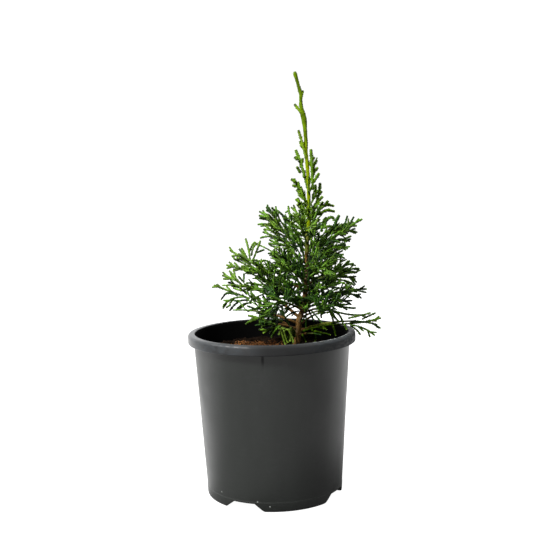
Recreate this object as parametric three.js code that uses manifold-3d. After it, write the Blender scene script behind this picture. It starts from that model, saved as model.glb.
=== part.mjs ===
// A young shimpaku juniper in a round nursery pot.
// Millimetres, +Z up. The origin is the middle of the flat underside of the pot.
// The front of the pot faces -Y, and azimuths are degrees round +Z, counted from +X towards +Y.
import * as THREE from 'three';
import { mergeVertices } from 'three/addons/utils/BufferGeometryUtils.js';
import Module from 'manifold-3d';

const wasm = await Module();
wasm.setup();

// Pot
const POT = {
  height: 160.6,
  rimRadius: 82.5,
  rimDrop: 9.2,
  rimRound: 1.6,
  lipThickness: 1.8,
  lipTop: 2.4,
  footRadius: 66.2,
  footRound: 1.4,
  flare: 0.0664,
  wall: 1.8,
  floor: 2.0,
  sides: 44,
};
// Four pockets cut up into the foot, each with a drain hole in its roof
const POCKET = {
  count: 4,
  firstTurn: -26.7,
  footHalfWidth: 21.0,
  roofHalfWidth: 11.5,
  height: 8.0,
  depth: 26.0,
  drainRadius: 4.5,
  drainInset: 14.0,
  drainSides: 12,
};
// The soil's top is lumpy, flat under the trunk, and falls away a little at the wall
const SOIL = {
  level: 141.5,
  relief: 1.3,
  edgeDip: 1.2,
  flatRadius: 6,
  easeRadius: 18,
  rings: [66, 48, 32, 16, 0],
};

// Clearance between neighbouring solids, between foliage and the pot's inside, and overshoot of a cut
const GAP = 0.3;
const POT_CLEARANCE = 2;
const OVER = 0.01;
// A line whose direction is this little off the upright takes the front as its level side
const UPRIGHT = 0.2;

// The line of trunk and leader: height, right of the pot's axis, back of it, radius
const TRUNK_LINE = [
  [141.8, 21.5, -1.0, 4.0],
  [147, 23.6, -0.6, 3.1],
  [160, 26.2, 0.0, 2.6],
  [172, 27.6, 0.4, 2.6],
  [182, 31.3, 0.6, 2.1],
  [200, 34.0, -0.6, 2.0],
  [220, 36.0, 0.2, 1.9],
  [240, 36.2, 0.6, 1.8],
  [262, 37.8, 0.0, 1.75],
  [281, 39.2, -0.4, 1.7],
  [300, 38.6, 0.0, 1.75],
  [345, 36.9, 0.3, 1.9],
  [365, 36.3, 0.0, 2.0],
  [380, 33.4, 0.2, 1.9],
  [396, 31.0, 0.0, 1.8],
  [412.3, 27.8, -0.3, 1.5],
];
const TRUNK = { foot: TRUNK_LINE[0][0], top: 345, tip: TRUNK_LINE.at(-1)[0], rings: 18, sides: 8 };
const STUB = { height: 144.7, azimuth: 200, reach: 6.0, rise: 6.5, radius: 1.7, sides: 6 };

// A spray leaves the trunk at a height and azimuth, and runs out by reach and up by rise on an arched line.
// The first share of that line, bare, is a bough, and its foliage has twigs up to spread long.
const SPRAY_COLUMNS = ['name', 'height', 'azimuth', 'reach', 'rise', 'bare', 'spread'];
const SPRAY_ROWS = [
  ['low_right', 160, -14, 80, 9, 0.42, 30],
  ['low_left', 162, 206, 56, 7, 0.4, 28],
  ['low_front_right', 156, -44, 40, 2, 0.3, 20],
  ['low_front_left', 156, 236, 19, -5, 0, 15],
  ['low_back_right', 166, 46, 66, 8, 0.36, 30],
  ['low_back_left', 158, 130, 60, 13, 0.36, 30],
  ['mid_left', 173, 182, 84, 33, 0.3, 34],
  ['mid_left_under', 167, 201, 77, 19, 0.36, 30],
  ['mid_right', 184, -5, 62, 16, 0.24, 31],
  ['mid_right_under', 177, 16, 60, 5, 0.24, 28],
  ['mid_front_left', 180, 238, 58, 15, 0.24, 31],
  ['mid_front_right', 172, 306, 58, 14, 0.24, 31],
  ['mid_back_right', 187, 62, 62, 14, 0.24, 31],
  ['mid_back_left', 181, 120, 64, 16, 0.24, 31],
  ['high_left', 200, 184, 78, 24, 0.18, 33],
  ['high_left_upper', 213, 168, 60, 38, 0, 28],
  ['high_right', 205, -10, 53, 17, 0.18, 31],
  ['high_right_upper', 222, 10, 44, 20, 0, 28],
  ['high_front_left', 209, 232, 50, 19, 0.18, 28],
  ['high_front_right', 211, 302, 47, 18, 0.18, 28],
  ['high_back_left', 206, 124, 54, 20, 0.18, 28],
  ['high_back_right', 215, 58, 52, 20, 0.18, 28],
  ['upper_left', 238, 181, 46, 38, 0, 34],
  ['upper_right', 240, -3, 54, 29, 0, 33],
  ['upper_front', 245, 254, 36, 27, 0, 29],
  ['upper_back', 242, 92, 40, 28, 0, 30],
  ['top_left', 262, 184, 27, 18, 0, 24],
  ['top_right', 266, -8, 22, 22, 0, 23],
  ['top_front', 268, 274, 16, 21, 0, 20],
  ['top_back', 264, 88, 17, 22, 0, 20],
  ['spire_left', 284, 184, 18, 26, 0, 14],
  ['spire_right', 282, 4, 14, 24, 0, 14],
  ['spire_left_upper', 302, 172, 11.5, 35, 0, 12],
  ['spire_right_upper', 300, -10, 12, 38, 0, 12],
  ['spire_left_tip', 330, 180, 7, 26, 0, 9],
  ['spire_front', 292, 268, 11, 28, 0, 12],
  ['spire_back', 294, 92, 11, 28, 0, 12],
];
// What one spray has apart from the rule: the stout left bough that arches up from the fork
const SPRAY_EXTRAS = { mid_left: { arch: 13, thick: 1.7 } };
// Sprays that leave the trunk above this height hug it, with slim shoots close together
const SPIRE = { above: 280, perTwig: 6.5, angle: 30, width: 0.55 };
const BOUGH = { arch: 0.07, thin: 0.8, thickPerReach: 0.007, foot: 1.15, end: 0.8, sides: 5, rings: 3 };
const STEM = { sides: 3, rings: 4, end: 0.8, tip: 9, perTwig: 8.7, fewest: 2, rollStep: 67, seedStep: 17 };
const LEADER = {
  name: 'leader',
  spread: 12,
  twigs: 2,
  first: 0.1,
  last: 0.7,
  turn: 90,
  step: 180,
  angle: 25,
  taper: 0.4,
  width: 0.3,
  sides: 6,
  rings: 8,
};

// How twigs leave a stem: in a spiral, shorter towards the stem's tip, each ending in a fan
const TWIG = {
  first: 0.03,
  last: 0.95,
  step: 137.5,
  angle: 48,
  taper: 0.55,
  vary: 0.15,
  flat: 0.8,
  bend: 0.35,
  width: 1,
  radius: 1.0,
  thin: 0.8,
  sides: 3,
};
// A fan stands for a small spray of scale-leaved shoots: a toothed blade, larger than life.
// Its edge is given as shares of its length and half width, up one side from root to tip.
// The first of sizes that fits its place is taken, and none under the smallest.
const FAN = {
  length: 25,
  halfWidth: 9.2,
  thickness: 2.2,
  heart: 0.42,
  edge: [[0.55, 1], [0.42, 0.3], [0.86, 0.72], [0.7, 0.2]],
  angle: 42,
  sunk: 0.6,
  tipSunk: 2,
  along: [0.3, 0.75],
  onTip: 0.92,
  onSide: 0.8,
  beyondTwig: 0.6,
  sizes: [1.5, 1.25, 1, 0.8, 0.62],
  smallest: 0.36,
};

const COLOURS = {
  pot: { color: '#3d3e3d', roughness: 0.42, metalness: 0 },
  soil: { color: '#55301a', roughness: 0.95, metalness: 0 },
  bark: { color: '#7b5137', roughness: 0.85, metalness: 0 },
  foliage: { color: '#2f5a1e', roughness: 0.6, metalness: 0 },
  leader: { color: '#678a14', roughness: 0.55, metalness: 0 },
};

const radians = THREE.MathUtils.degToRad;
const lerp = THREE.MathUtils.lerp;
const UP = new THREE.Vector3(0, 0, 1);

const SPRAYS = SPRAY_ROWS.map((row, index) => {
  const given = Object.fromEntries(SPRAY_COLUMNS.map((column, k) => [column, row[k]]));
  const length = Math.hypot(given.reach, given.rise);
  const kind = given.height > SPIRE.above ? SPIRE : STEM;
  return {
    ...given,
    ...(kind === SPIRE ? { angle: SPIRE.angle, width: SPIRE.width } : {}),
    length,
    arch: given.reach * BOUGH.arch,
    thick: BOUGH.thin + given.reach * BOUGH.thickPerReach,
    twigs: STEM.fewest + Math.round((length * (1 - given.bare)) / kind.perTwig),
    turn: index * STEM.rollStep,
    ...SPRAY_EXTRAS[given.name],
  };
});

// Solids from closed three.js geometry, and back
function solid(geometry) {
  const bare = geometry.index ? geometry.toNonIndexed() : geometry.clone();
  bare.deleteAttribute('normal');
  bare.deleteAttribute('uv');
  const merged = mergeVertices(bare, 1e-4);
  return new wasm.Manifold(new wasm.Mesh({
    numProp: 3,
    vertProperties: new Float32Array(merged.attributes.position.array),
    triVerts: new Uint32Array(merged.index.array),
  }));
}

function geometryOf(body) {
  const { numProp, vertProperties, triVerts } = body.getMesh();
  const positions = new Float32Array((vertProperties.length / numProp) * 3);
  for (let i = 0; i < positions.length / 3; i++) {
    positions.set(vertProperties.subarray(i * numProp, i * numProp + 3), i * 3);
  }
  const geometry = new THREE.BufferGeometry();
  geometry.setAttribute('position', new THREE.BufferAttribute(positions, 3));
  geometry.setIndex(new THREE.BufferAttribute(new Uint32Array(triVerts), 1));
  geometry.computeVertexNormals();
  return geometry;
}

const fuse = (solids) => solids.reduce((whole, piece) => whole.add(piece));
const largest = (body) => body.decompose().reduce((a, b) => (b.volume() > a.volume() ? b : a));

// Seeded numbers from 0 to 1, the same on every run
function dice(seed) {
  let state = seed;
  return () => {
    state = (state * 1664525 + 1013904223) % 4294967296;
    return state / 4294967296;
  };
}

// A profile of [radius, height] points spun round the pot's axis
function spun(profile) {
  const points = profile.map(([r, z]) => new THREE.Vector2(r, z));
  return new THREE.LatheGeometry(points, POT.sides).rotateX(Math.PI / 2);
}

// A closed tapered limb: a cylinder whose rings are moved onto a line of points, square to it.
// The first ring is square to footAlong instead, where that is given.
function limb(points, radii, sides, footAlong = null) {
  const rings = points.length - 1;
  const tube = new THREE.CylinderGeometry(1, 1, 1, sides, rings);
  const frames = [];
  let side = null;
  for (let k = 0; k <= rings; k++) {
    const before = points[Math.max(k - 1, 0)];
    const after = points[Math.min(k + 1, rings)];
    const along = k === 0 && footAlong ? footAlong : after.clone().sub(before).normalize();
    const start = side || (Math.abs(along.z) > 0.9 ? new THREE.Vector3(1, 0, 0) : UP.clone());
    side = start.addScaledVector(along, -start.dot(along)).normalize();
    frames.push({ side: side.clone(), other: side.clone().cross(along) });
  }
  const spots = tube.attributes.position;
  for (let i = 0; i < spots.count; i++) {
    const k = Math.round((spots.getY(i) + 0.5) * rings);
    const at = points[k].clone()
      .addScaledVector(frames[k].side, spots.getX(i) * radii[k])
      .addScaledVector(frames[k].other, spots.getZ(i) * radii[k]);
    spots.setXYZ(i, at.x, at.y, at.z);
  }
  return solid(tube);
}

// Points of a fan: the heart of each face, then its toothed outline from the root round
function fanPoints(from, along, side, size, width) {
  const across = side.clone().addScaledVector(along, -side.dot(along)).normalize();
  const face = across.clone().cross(along);
  const root = from.clone().addScaledVector(along, -FAN.sunk);
  const at = (reach, out, lift) => root.clone()
    .addScaledVector(along, reach * FAN.length * size)
    .addScaledVector(across, out * FAN.halfWidth * size * width)
    .addScaledVector(face, lift);
  const up = FAN.edge.map(([reach, out]) => at(reach, out, 0));
  const down = FAN.edge.map(([reach, out]) => at(reach, -out, 0)).reverse();
  const hearts = [at(FAN.heart, 0, FAN.thickness / 2), at(FAN.heart, 0, -FAN.thickness / 2)];
  return { hearts, outline: [root, ...up, at(1, 0, 0), ...down] };
}

function fan({ hearts, outline }) {
  const count = outline.length;
  const faces = outline.flatMap((_, k) => {
    const next = 2 + (k + 1) % count;
    return [0, 2 + k, next, 1, next, 2 + k];
  });
  const body = new THREE.BufferGeometry().setFromPoints([...hearts, ...outline]);
  body.setIndex(faces);
  return solid(body);
}

// The trunk's line and radius at a height, smooth through the points above
function trunkAt(height) {
  const last = TRUNK_LINE.length - 1;
  let k = 0;
  while (k < last - 1 && height > TRUNK_LINE[k + 1][0]) k++;
  const [a, b] = [TRUNK_LINE[k], TRUNK_LINE[k + 1]];
  const [before, after] = [TRUNK_LINE[Math.max(k - 1, 0)], TRUNK_LINE[Math.min(k + 2, last)]];
  const span = b[0] - a[0];
  const t = (height - a[0]) / span;
  const smooth = (i) => {
    const slopeA = ((b[i] - before[i]) / (b[0] - before[0])) * span;
    const slopeB = ((after[i] - a[i]) / (after[0] - a[0])) * span;
    const [t2, t3] = [t * t, t * t * t];
    return (2 * t3 - 3 * t2 + 1) * a[i] + (t3 - 2 * t2 + t) * slopeA
      + (3 * t2 - 2 * t3) * b[i] + (t3 - t2) * slopeB;
  };
  return { point: new THREE.Vector3(smooth(1), smooth(2), height), radius: lerp(a[3], b[3], t) };
}

function trunkLine(low, high, rings) {
  return Array.from({ length: rings + 1 }, (_, k) => trunkAt(lerp(low, high, k / rings)));
}

// Points of a spray's arched line between two shares of it
function sprayLine(spray, from, to, steps) {
  const start = trunkAt(spray.height).point;
  const turn = radians(spray.azimuth);
  return Array.from({ length: steps + 1 }, (_, k) => {
    const share = lerp(from, to, k / steps);
    return new THREE.Vector3(
      start.x + spray.reach * share * Math.cos(turn),
      start.y + spray.reach * share * Math.sin(turn),
      start.z + spray.rise * share + spray.arch * 4 * share * (1 - share),
    );
  });
}

// Pot
function wallRadius(height) {
  return POT.footRadius + POT.flare * height;
}

function pocket(index, margin) {
  const turn = radians(POCKET.firstTurn + (360 / POCKET.count) * index);
  const slope = (POCKET.footHalfWidth - POCKET.roofHalfWidth) / POCKET.height;
  const sideways = margin * Math.hypot(1, slope);
  const under = -1 - margin;
  const foot = POCKET.footHalfWidth - slope * under + sideways;
  const roof = POCKET.roofHalfWidth - slope * margin + sideways;
  const shape = new THREE.Shape([
    new THREE.Vector2(-foot, under),
    new THREE.Vector2(foot, under),
    new THREE.Vector2(roof, POCKET.height + margin),
    new THREE.Vector2(-roof, POCKET.height + margin),
  ]);
  const inner = POT.footRadius - POCKET.depth - margin;
  const block = new THREE.ExtrudeGeometry(shape, { depth: POT.rimRadius - inner, bevelEnabled: false });
  const across = new THREE.Vector3(Math.cos(turn), Math.sin(turn), 0);
  const outwards = across.clone().cross(UP);
  block.translate(0, 0, inner);
  return solid(block.applyMatrix4(new THREE.Matrix4().makeBasis(across, UP, outwards)));
}

function pockets(margin) {
  return fuse(Array.from({ length: POCKET.count }, (_, k) => pocket(k, margin)));
}

function drains() {
  const reach = POT.footRadius - POCKET.drainInset;
  return fuse(Array.from({ length: POCKET.count }, (_, k) => {
    const turn = radians(POCKET.firstTurn + (360 / POCKET.count) * k);
    const { drainRadius, drainSides } = POCKET;
    const hole = new THREE.CylinderGeometry(drainRadius, drainRadius, 4 * POT.wall, drainSides);
    hole.rotateX(Math.PI / 2);
    return solid(hole.translate(reach * Math.sin(turn), -reach * Math.cos(turn), POCKET.height + POT.wall));
  }));
}

function buildPot() {
  const top = POT.height;
  const lipInner = POT.rimRadius - POT.lipThickness;
  const outside = solid(spun([
    [0, 0],
    [POT.footRadius - POT.footRound, 0],
    [wallRadius(POT.footRound), POT.footRound],
    [wallRadius(top - POT.lipTop), top - POT.lipTop],
    [lipInner, top - POT.lipTop],
    [lipInner, top - POT.rimDrop],
    [POT.rimRadius, top - POT.rimDrop],
    [POT.rimRadius, top - POT.rimRound],
    [POT.rimRadius - POT.rimRound, top],
    [0, top],
  ]));
  const mouth = wallRadius(top) - POT.wall;
  const inside = solid(spun([
    [0, POT.floor],
    [wallRadius(POT.floor) - POT.wall, POT.floor],
    [mouth, top - POT.rimRound],
    [mouth + POT.rimRound, top + OVER],
    [0, top + OVER],
  ]));
  return outside.subtract(inside.subtract(pockets(POT.wall))).subtract(pockets(0)).subtract(drains());
}

// Soil: fills the pot to its level
function soilHeight(x, y) {
  const foot = trunkAt(TRUNK.foot).point;
  const away = Math.hypot(x - foot.x, y - foot.y);
  const ease = THREE.MathUtils.smoothstep(away, SOIL.flatRadius, SOIL.easeRadius);
  const lumps = Math.sin(x * 0.19 + 1.1) * Math.cos(y * 0.23 - 0.4) + 0.5 * Math.sin(x * 0.41 - y * 0.37);
  return SOIL.level + SOIL.relief * ease * lumps;
}

function buildSoil() {
  const margin = POT.wall + GAP;
  const edge = (z) => wallRadius(z) - margin;
  const base = POT.floor + GAP;
  const body = spun([
    [0, base],
    [edge(base), base],
    [edge(SOIL.level), SOIL.level - SOIL.edgeDip],
    ...SOIL.rings.map((radius) => [radius, SOIL.level]),
  ]);
  const spots = body.attributes.position;
  for (let i = 0; i < spots.count; i++) {
    const onTop = Math.abs(spots.getZ(i) - SOIL.level) < OVER;
    if (onTop) spots.setZ(i, soilHeight(spots.getX(i), spots.getY(i)));
  }
  return solid(body).subtract(pockets(margin));
}

// Trunk, with the cut-off stub at its foot
function trunkSolid(margin) {
  const line = trunkLine(TRUNK.foot, TRUNK.top, TRUNK.rings);
  return limb(line.map((s) => s.point), line.map((s) => s.radius + margin), TRUNK.sides, UP);
}

function stubSolid(margin) {
  const from = trunkAt(STUB.height).point;
  const turn = radians(STUB.azimuth);
  const onward = new THREE.Vector3(STUB.reach * Math.cos(turn), STUB.reach * Math.sin(turn), STUB.rise);
  const radius = STUB.radius + margin;
  return limb([from, from.clone().add(onward)], [radius, radius], STUB.sides);
}

const trunk = trunkSolid(0).add(stubSolid(0));
const trunkSpace = trunkSolid(GAP).add(stubSolid(GAP));

// Boughs
function bough(spray) {
  const line = sprayLine(spray, 0, spray.bare, BOUGH.rings);
  const radii = line.map((_, k) => spray.thick * lerp(BOUGH.foot, BOUGH.end, k / BOUGH.rings));
  return largest(limb(line, radii, BOUGH.sides).subtract(trunkSpace));
}

// What foliage keeps clear of: trunk and boughs, and the lines of all the other sprays
function segments(points, radii, owner) {
  return points.slice(1).map((b, k) => ({
    a: points[k],
    b,
    radius: Math.max(radii[k], radii[k + 1]),
    owner,
  }));
}

function trunkSegments(low, high, rings, owner) {
  const line = trunkLine(low, high, rings);
  return segments(line.map((s) => s.point), line.map((s) => s.radius), owner);
}

function spraySegments(spray, to, rings, radius) {
  return segments(sprayLine(spray, 0, to, rings), Array(rings + 1).fill(radius), spray.name);
}

const BOUGHS = SPRAYS.filter((spray) => spray.bare > 0);
const LIMB_SEGMENTS = [
  ...trunkSegments(TRUNK.foot, TRUNK.top, TRUNK.rings, 'trunk'),
  ...BOUGHS.flatMap((s) => spraySegments(s, s.bare, BOUGH.rings, s.thick * BOUGH.foot)),
];
const SPRAY_SEGMENTS = [
  ...SPRAYS.flatMap((s) => spraySegments(s, 1, 2 * STEM.rings, s.thick)),
  ...trunkSegments(TRUNK.top, TRUNK.tip, LEADER.rings, LEADER.name),
];

const nearest = new THREE.Vector3();
const segment = new THREE.Line3();
function distanceTo({ a, b }, point) {
  segment.set(a, b).closestPointToPoint(point, true, nearest);
  return nearest.distanceTo(point);
}

function clearOfPot(point, margin) {
  const out = Math.hypot(point.x, point.y);
  if (out > POT.rimRadius + margin || point.z > POT.height + margin) return true;
  const inside = wallRadius(POT.height) - POT.wall - POT_CLEARANCE - margin;
  return out < inside && point.z > SOIL.level + POT_CLEARANCE + margin;
}

// True if every one of these points, with this radius round it, stays in the spray's own space
function keepsToSpace(name, points, radius) {
  const margin = radius + GAP;
  return points.every((point) => {
    if (!clearOfPot(point, margin)) return false;
    if (LIMB_SEGMENTS.some((s) => distanceTo(s, point) < s.radius + margin)) return false;
    let own = Infinity;
    let other = Infinity;
    for (const s of SPRAY_SEGMENTS) {
      const away = distanceTo(s, point);
      if (s.owner === name) own = Math.min(own, away);
      else other = Math.min(other, away - s.radius);
    }
    return other > margin && other - own > 2 * margin;
  });
}

// The direction that leaves a line at an angle, rolled round it from the level; flat squeezes the spiral
function directionFrom(along, roll, angle, flat) {
  const level = new THREE.Vector3().crossVectors(along, UP);
  if (level.length() < UPRIGHT) level.set(0, -1, 0).addScaledVector(along, along.y);
  level.normalize();
  const raised = level.clone().cross(along).normalize().multiplyScalar(flat * Math.sin(roll));
  const sideways = level.multiplyScalar(Math.cos(roll)).add(raised).normalize();
  return along.clone().multiplyScalar(Math.cos(angle)).addScaledVector(sideways, Math.sin(angle));
}

// The largest fan that fits here within the spray's own space, if any does
function fittingFan(rule, from, along, side, size) {
  const sizes = FAN.sizes.map((share) => share * size).filter((scale) => scale > FAN.smallest);
  const shapes = sizes.map((scale) => fanPoints(from, along, side, scale, rule.width));
  return shapes.find(({ hearts, outline }) => {
    const heart = hearts[0].clone().lerp(hearts[1], 0.5);
    const tests = outline.slice(1).flatMap((point) => [point, point.clone().lerp(heart, 0.5)]);
    return keepsToSpace(rule.name, [heart, ...tests], FAN.thickness / 4);
  });
}

// A twig with a fan on its tip and fans round it, or nothing where the twig doesn't fit
function twig(rule, from, out, along, length, turnOf, roll) {
  const tip = from.clone().addScaledVector(out, length - FAN.length * FAN.beyondTwig);
  const tests = [0.6, 1].map((share) => from.clone().lerp(tip, share));
  if (!keepsToSpace(rule.name, tests, rule.radius)) return [];
  const onward = out.clone().addScaledVector(along, rule.bend).normalize();
  const vary = () => lerp(1 - rule.vary / 2, 1 + rule.vary / 2, roll());
  const fans = [
    fittingFan(rule, tip.clone().addScaledVector(onward, -FAN.tipSunk), onward, along, FAN.onTip * vary()),
    ...FAN.along.map((place, n) => {
      const way = directionFrom(out, turnOf(n), radians(FAN.angle), 1);
      return fittingFan(rule, from.clone().lerp(tip, place), way, out, FAN.onSide * vary());
    }),
  ];
  const wood = limb([from, tip], [rule.radius, rule.radius * rule.thin], TWIG.sides);
  return [wood, ...fans.filter(Boolean).map(fan)];
}

// Twigs along a stem by the rule above. One shorter than a fan is a fan that grows straight on the stem.
function twigsAlong(spray, stem) {
  const rule = { ...TWIG, ...spray };
  const roll = dice(Math.round(spray.turn * STEM.seedStep + stem[0].z));
  return Array.from({ length: rule.twigs }).flatMap((_, k) => {
    const share = lerp(rule.first, rule.last, (k + 0.5) / rule.twigs);
    const spot = share * (stem.length - 1);
    const ring = Math.min(Math.floor(spot), stem.length - 2);
    const from = stem[ring].clone().lerp(stem[ring + 1], spot - ring);
    const along = stem[ring + 1].clone().sub(stem[ring]).normalize();
    const turnOf = (n) => radians(rule.turn + rule.step * (k + n));
    const out = directionFrom(along, turnOf(0), radians(rule.angle), rule.flat);
    const length = rule.spread * (1 - rule.taper * share) * lerp(1 - rule.vary, 1 + rule.vary, roll());
    if (length >= FAN.length) return twig(rule, from, out, along, length, turnOf, roll);
    const only = fittingFan(rule, from, out, along, length / FAN.length);
    return only ? [fan(only)] : [];
  });
}

function sprayFoliage(spray) {
  const start = spray.bare > 0 ? spray.bare + GAP / spray.length : 0;
  const stem = sprayLine(spray, start, 1 - STEM.tip / spray.length, STEM.rings);
  const radii = stem.map((_, k) => lerp(spray.thick, STEM.end, k / STEM.rings));
  const last = stem.at(-1);
  const along = last.clone().sub(stem.at(-2)).normalize();
  const level = new THREE.Vector3().crossVectors(along, UP);
  const size = (STEM.tip + FAN.tipSunk + FAN.sunk) / FAN.length;
  const root = last.clone().addScaledVector(along, -FAN.tipSunk);
  const tipFan = fan(fanPoints(root, along, level, size, 1));
  const mass = fuse([limb(stem, radii, STEM.sides), tipFan, ...twigsAlong(spray, stem)]);
  return largest(spray.bare > 0 ? mass : mass.subtract(trunkSpace));
}

function leaderFoliage() {
  const line = trunkLine(TRUNK.top + GAP, TRUNK.tip, LEADER.rings);
  const stem = line.map((s) => s.point);
  return largest(fuse([limb(stem, line.map((s) => s.radius), LEADER.sides), ...twigsAlong(LEADER, stem)]));
}

// The whole plant in its pot
const plant = new THREE.Group();

function place(name, body, finish) {
  const mesh = new THREE.Mesh(geometryOf(body), new THREE.MeshStandardMaterial(finish));
  mesh.name = name;
  plant.add(mesh);
}

place('pot', buildPot(), COLOURS.pot);
place('soil', buildSoil(), COLOURS.soil);
place('trunk', trunk, COLOURS.bark);
for (const spray of SPRAYS) {
  if (spray.bare > 0) place(`bough_${spray.name}`, bough(spray), COLOURS.bark);
  place(`foliage_${spray.name}`, sprayFoliage(spray), COLOURS.foliage);
}
place('foliage_leader', leaderFoliage(), COLOURS.leader);

export default plant;
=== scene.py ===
"""A young shimpaku juniper in a round black nursery pot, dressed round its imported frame.

Heights, lines and places of the plant are in millimetres, as in the part's own source.
Meshes and the settings' lengths are in metres.
"""

import functools
import math
from types import SimpleNamespace as Values

import bmesh
import bpy
import numpy as np
from bpy.props import FloatProperty, FloatVectorProperty, IntProperty, PointerProperty
from mathutils import Matrix, Vector, noise


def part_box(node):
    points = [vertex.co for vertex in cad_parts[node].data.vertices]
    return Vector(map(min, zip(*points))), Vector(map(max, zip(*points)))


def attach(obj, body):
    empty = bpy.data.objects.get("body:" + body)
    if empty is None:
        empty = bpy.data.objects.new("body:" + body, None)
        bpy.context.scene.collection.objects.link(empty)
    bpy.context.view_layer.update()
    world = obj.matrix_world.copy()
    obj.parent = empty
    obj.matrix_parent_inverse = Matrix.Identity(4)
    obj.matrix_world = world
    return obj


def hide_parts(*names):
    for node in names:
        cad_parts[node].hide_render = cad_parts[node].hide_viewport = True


bl_info = {
    "name": "Potted juniper",
    "version": (1, 0, 0),
    "blender": (4, 5, 0),
    "location": "View3D > Sidebar > Juniper",
    "description": "Makes a young juniper in its nursery pot, piece by piece",
    "category": "Add Mesh",
}

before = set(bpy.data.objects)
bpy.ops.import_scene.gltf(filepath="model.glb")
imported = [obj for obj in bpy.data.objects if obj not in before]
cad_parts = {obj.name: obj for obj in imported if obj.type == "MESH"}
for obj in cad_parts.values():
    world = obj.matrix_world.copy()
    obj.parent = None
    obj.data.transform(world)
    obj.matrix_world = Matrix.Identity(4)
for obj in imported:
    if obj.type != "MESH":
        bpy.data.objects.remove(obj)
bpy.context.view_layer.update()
POT_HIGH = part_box("pot")[1]

MM = 0.001
UP = Vector((0.0, 0.0, 1.0))

# Pot, as in the solids
WALL = 1.8
FLOOR = 2.0
RIM_DROP = 9.2
RIM_ROUND = 1.6
LIP_THICKNESS = 1.8
LIP_TOP = 2.4
FOOT_RADIUS = 66.9
FOOT_ROUND = 1.4
FLARE = 0.0649
STEP_HEIGHT = 9.4
STEP_DEPTH = 0.25
POCKETS = 4
POCKET_TURN = -26.7
POCKET_FOOT = 21.0
POCKET_ROOF = 11.5
POCKET_HEIGHT = 8.0
POCKET_DEPTH = 26.0
DRAIN_RADIUS = 4.5
DRAIN_INSET = 14.0
SPIN_STEPS = 192

# Soil, as in the solids
SOIL_LEVEL = 141.5
SOIL_RELIEF = 1.3
SOIL_FLAT = 6.0
SOIL_EASE = 18.0

# The line of trunk and leader: height, right of the pot's axis, back of it, radius
TRUNK_LINE = [
    (141.8, 21.5, -1.0, 4.0), (147, 23.6, -0.6, 3.1), (160, 26.2, 0.0, 2.6), (172, 27.6, 0.4, 2.6),
    (182, 31.3, 0.6, 2.1), (200, 34.0, -0.6, 2.0), (220, 36.0, 0.2, 1.9), (240, 36.2, 0.6, 1.8),
    (262, 37.8, 0.0, 1.75), (281, 39.2, -0.4, 1.7), (300, 38.6, 0.0, 1.75), (345, 36.9, 0.3, 1.9),
    (365, 36.3, 0.0, 2.0), (380, 33.4, 0.2, 1.9), (396, 31.0, 0.0, 1.8), (412.3, 27.8, -0.3, 1.5),
]
# The leading shoot as it is dressed, with its neck, its knob and where its side shoots swell it
LEADER_LINE = [
    (257, 37.5, 0.0, 1.6), (270, 38.6, -0.1, 1.6), (281, 39.1, -0.4, 1.55), (300, 38.9, 0.0, 1.5),
    (312, 38.7, 0.1, 1.5), (322, 38.1, 0.1, 1.6), (330, 37.5, 0.2, 1.5), (337, 36.9, 0.1, 1.8),
    (344, 37.2, 0.0, 1.7), (352, 36.9, -0.1, 1.6), (358, 36.5, 0.0, 1.8), (363, 36.2, 0.1, 2.3),
    (368, 35.6, 0.1, 2.5), (372, 34.6, 0.0, 2.3), (378, 33.3, 0.0, 1.7), (384, 32.9, 0.1, 1.4),
    (390, 33.2, 0.1, 1.7), (394, 32.3, 0.0, 1.7), (399, 30.9, 0.0, 1.3), (404, 29.7, 0.0, 1.4),
    (409, 28.2, -0.2, 1.9), (412.2, 27.6, -0.3, 1.2),
]
TRUNK_FOOT = TRUNK_LINE[0][0]
TRUNK_TOP = 345
TRUNK_TIP = TRUNK_LINE[-1][0]
TRUNK_RINGS = 18
LEADER_RINGS = 8
STUB = Values(height=144.7, azimuth=200, reach=6.0, rise=6.5, radius=1.7)

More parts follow.
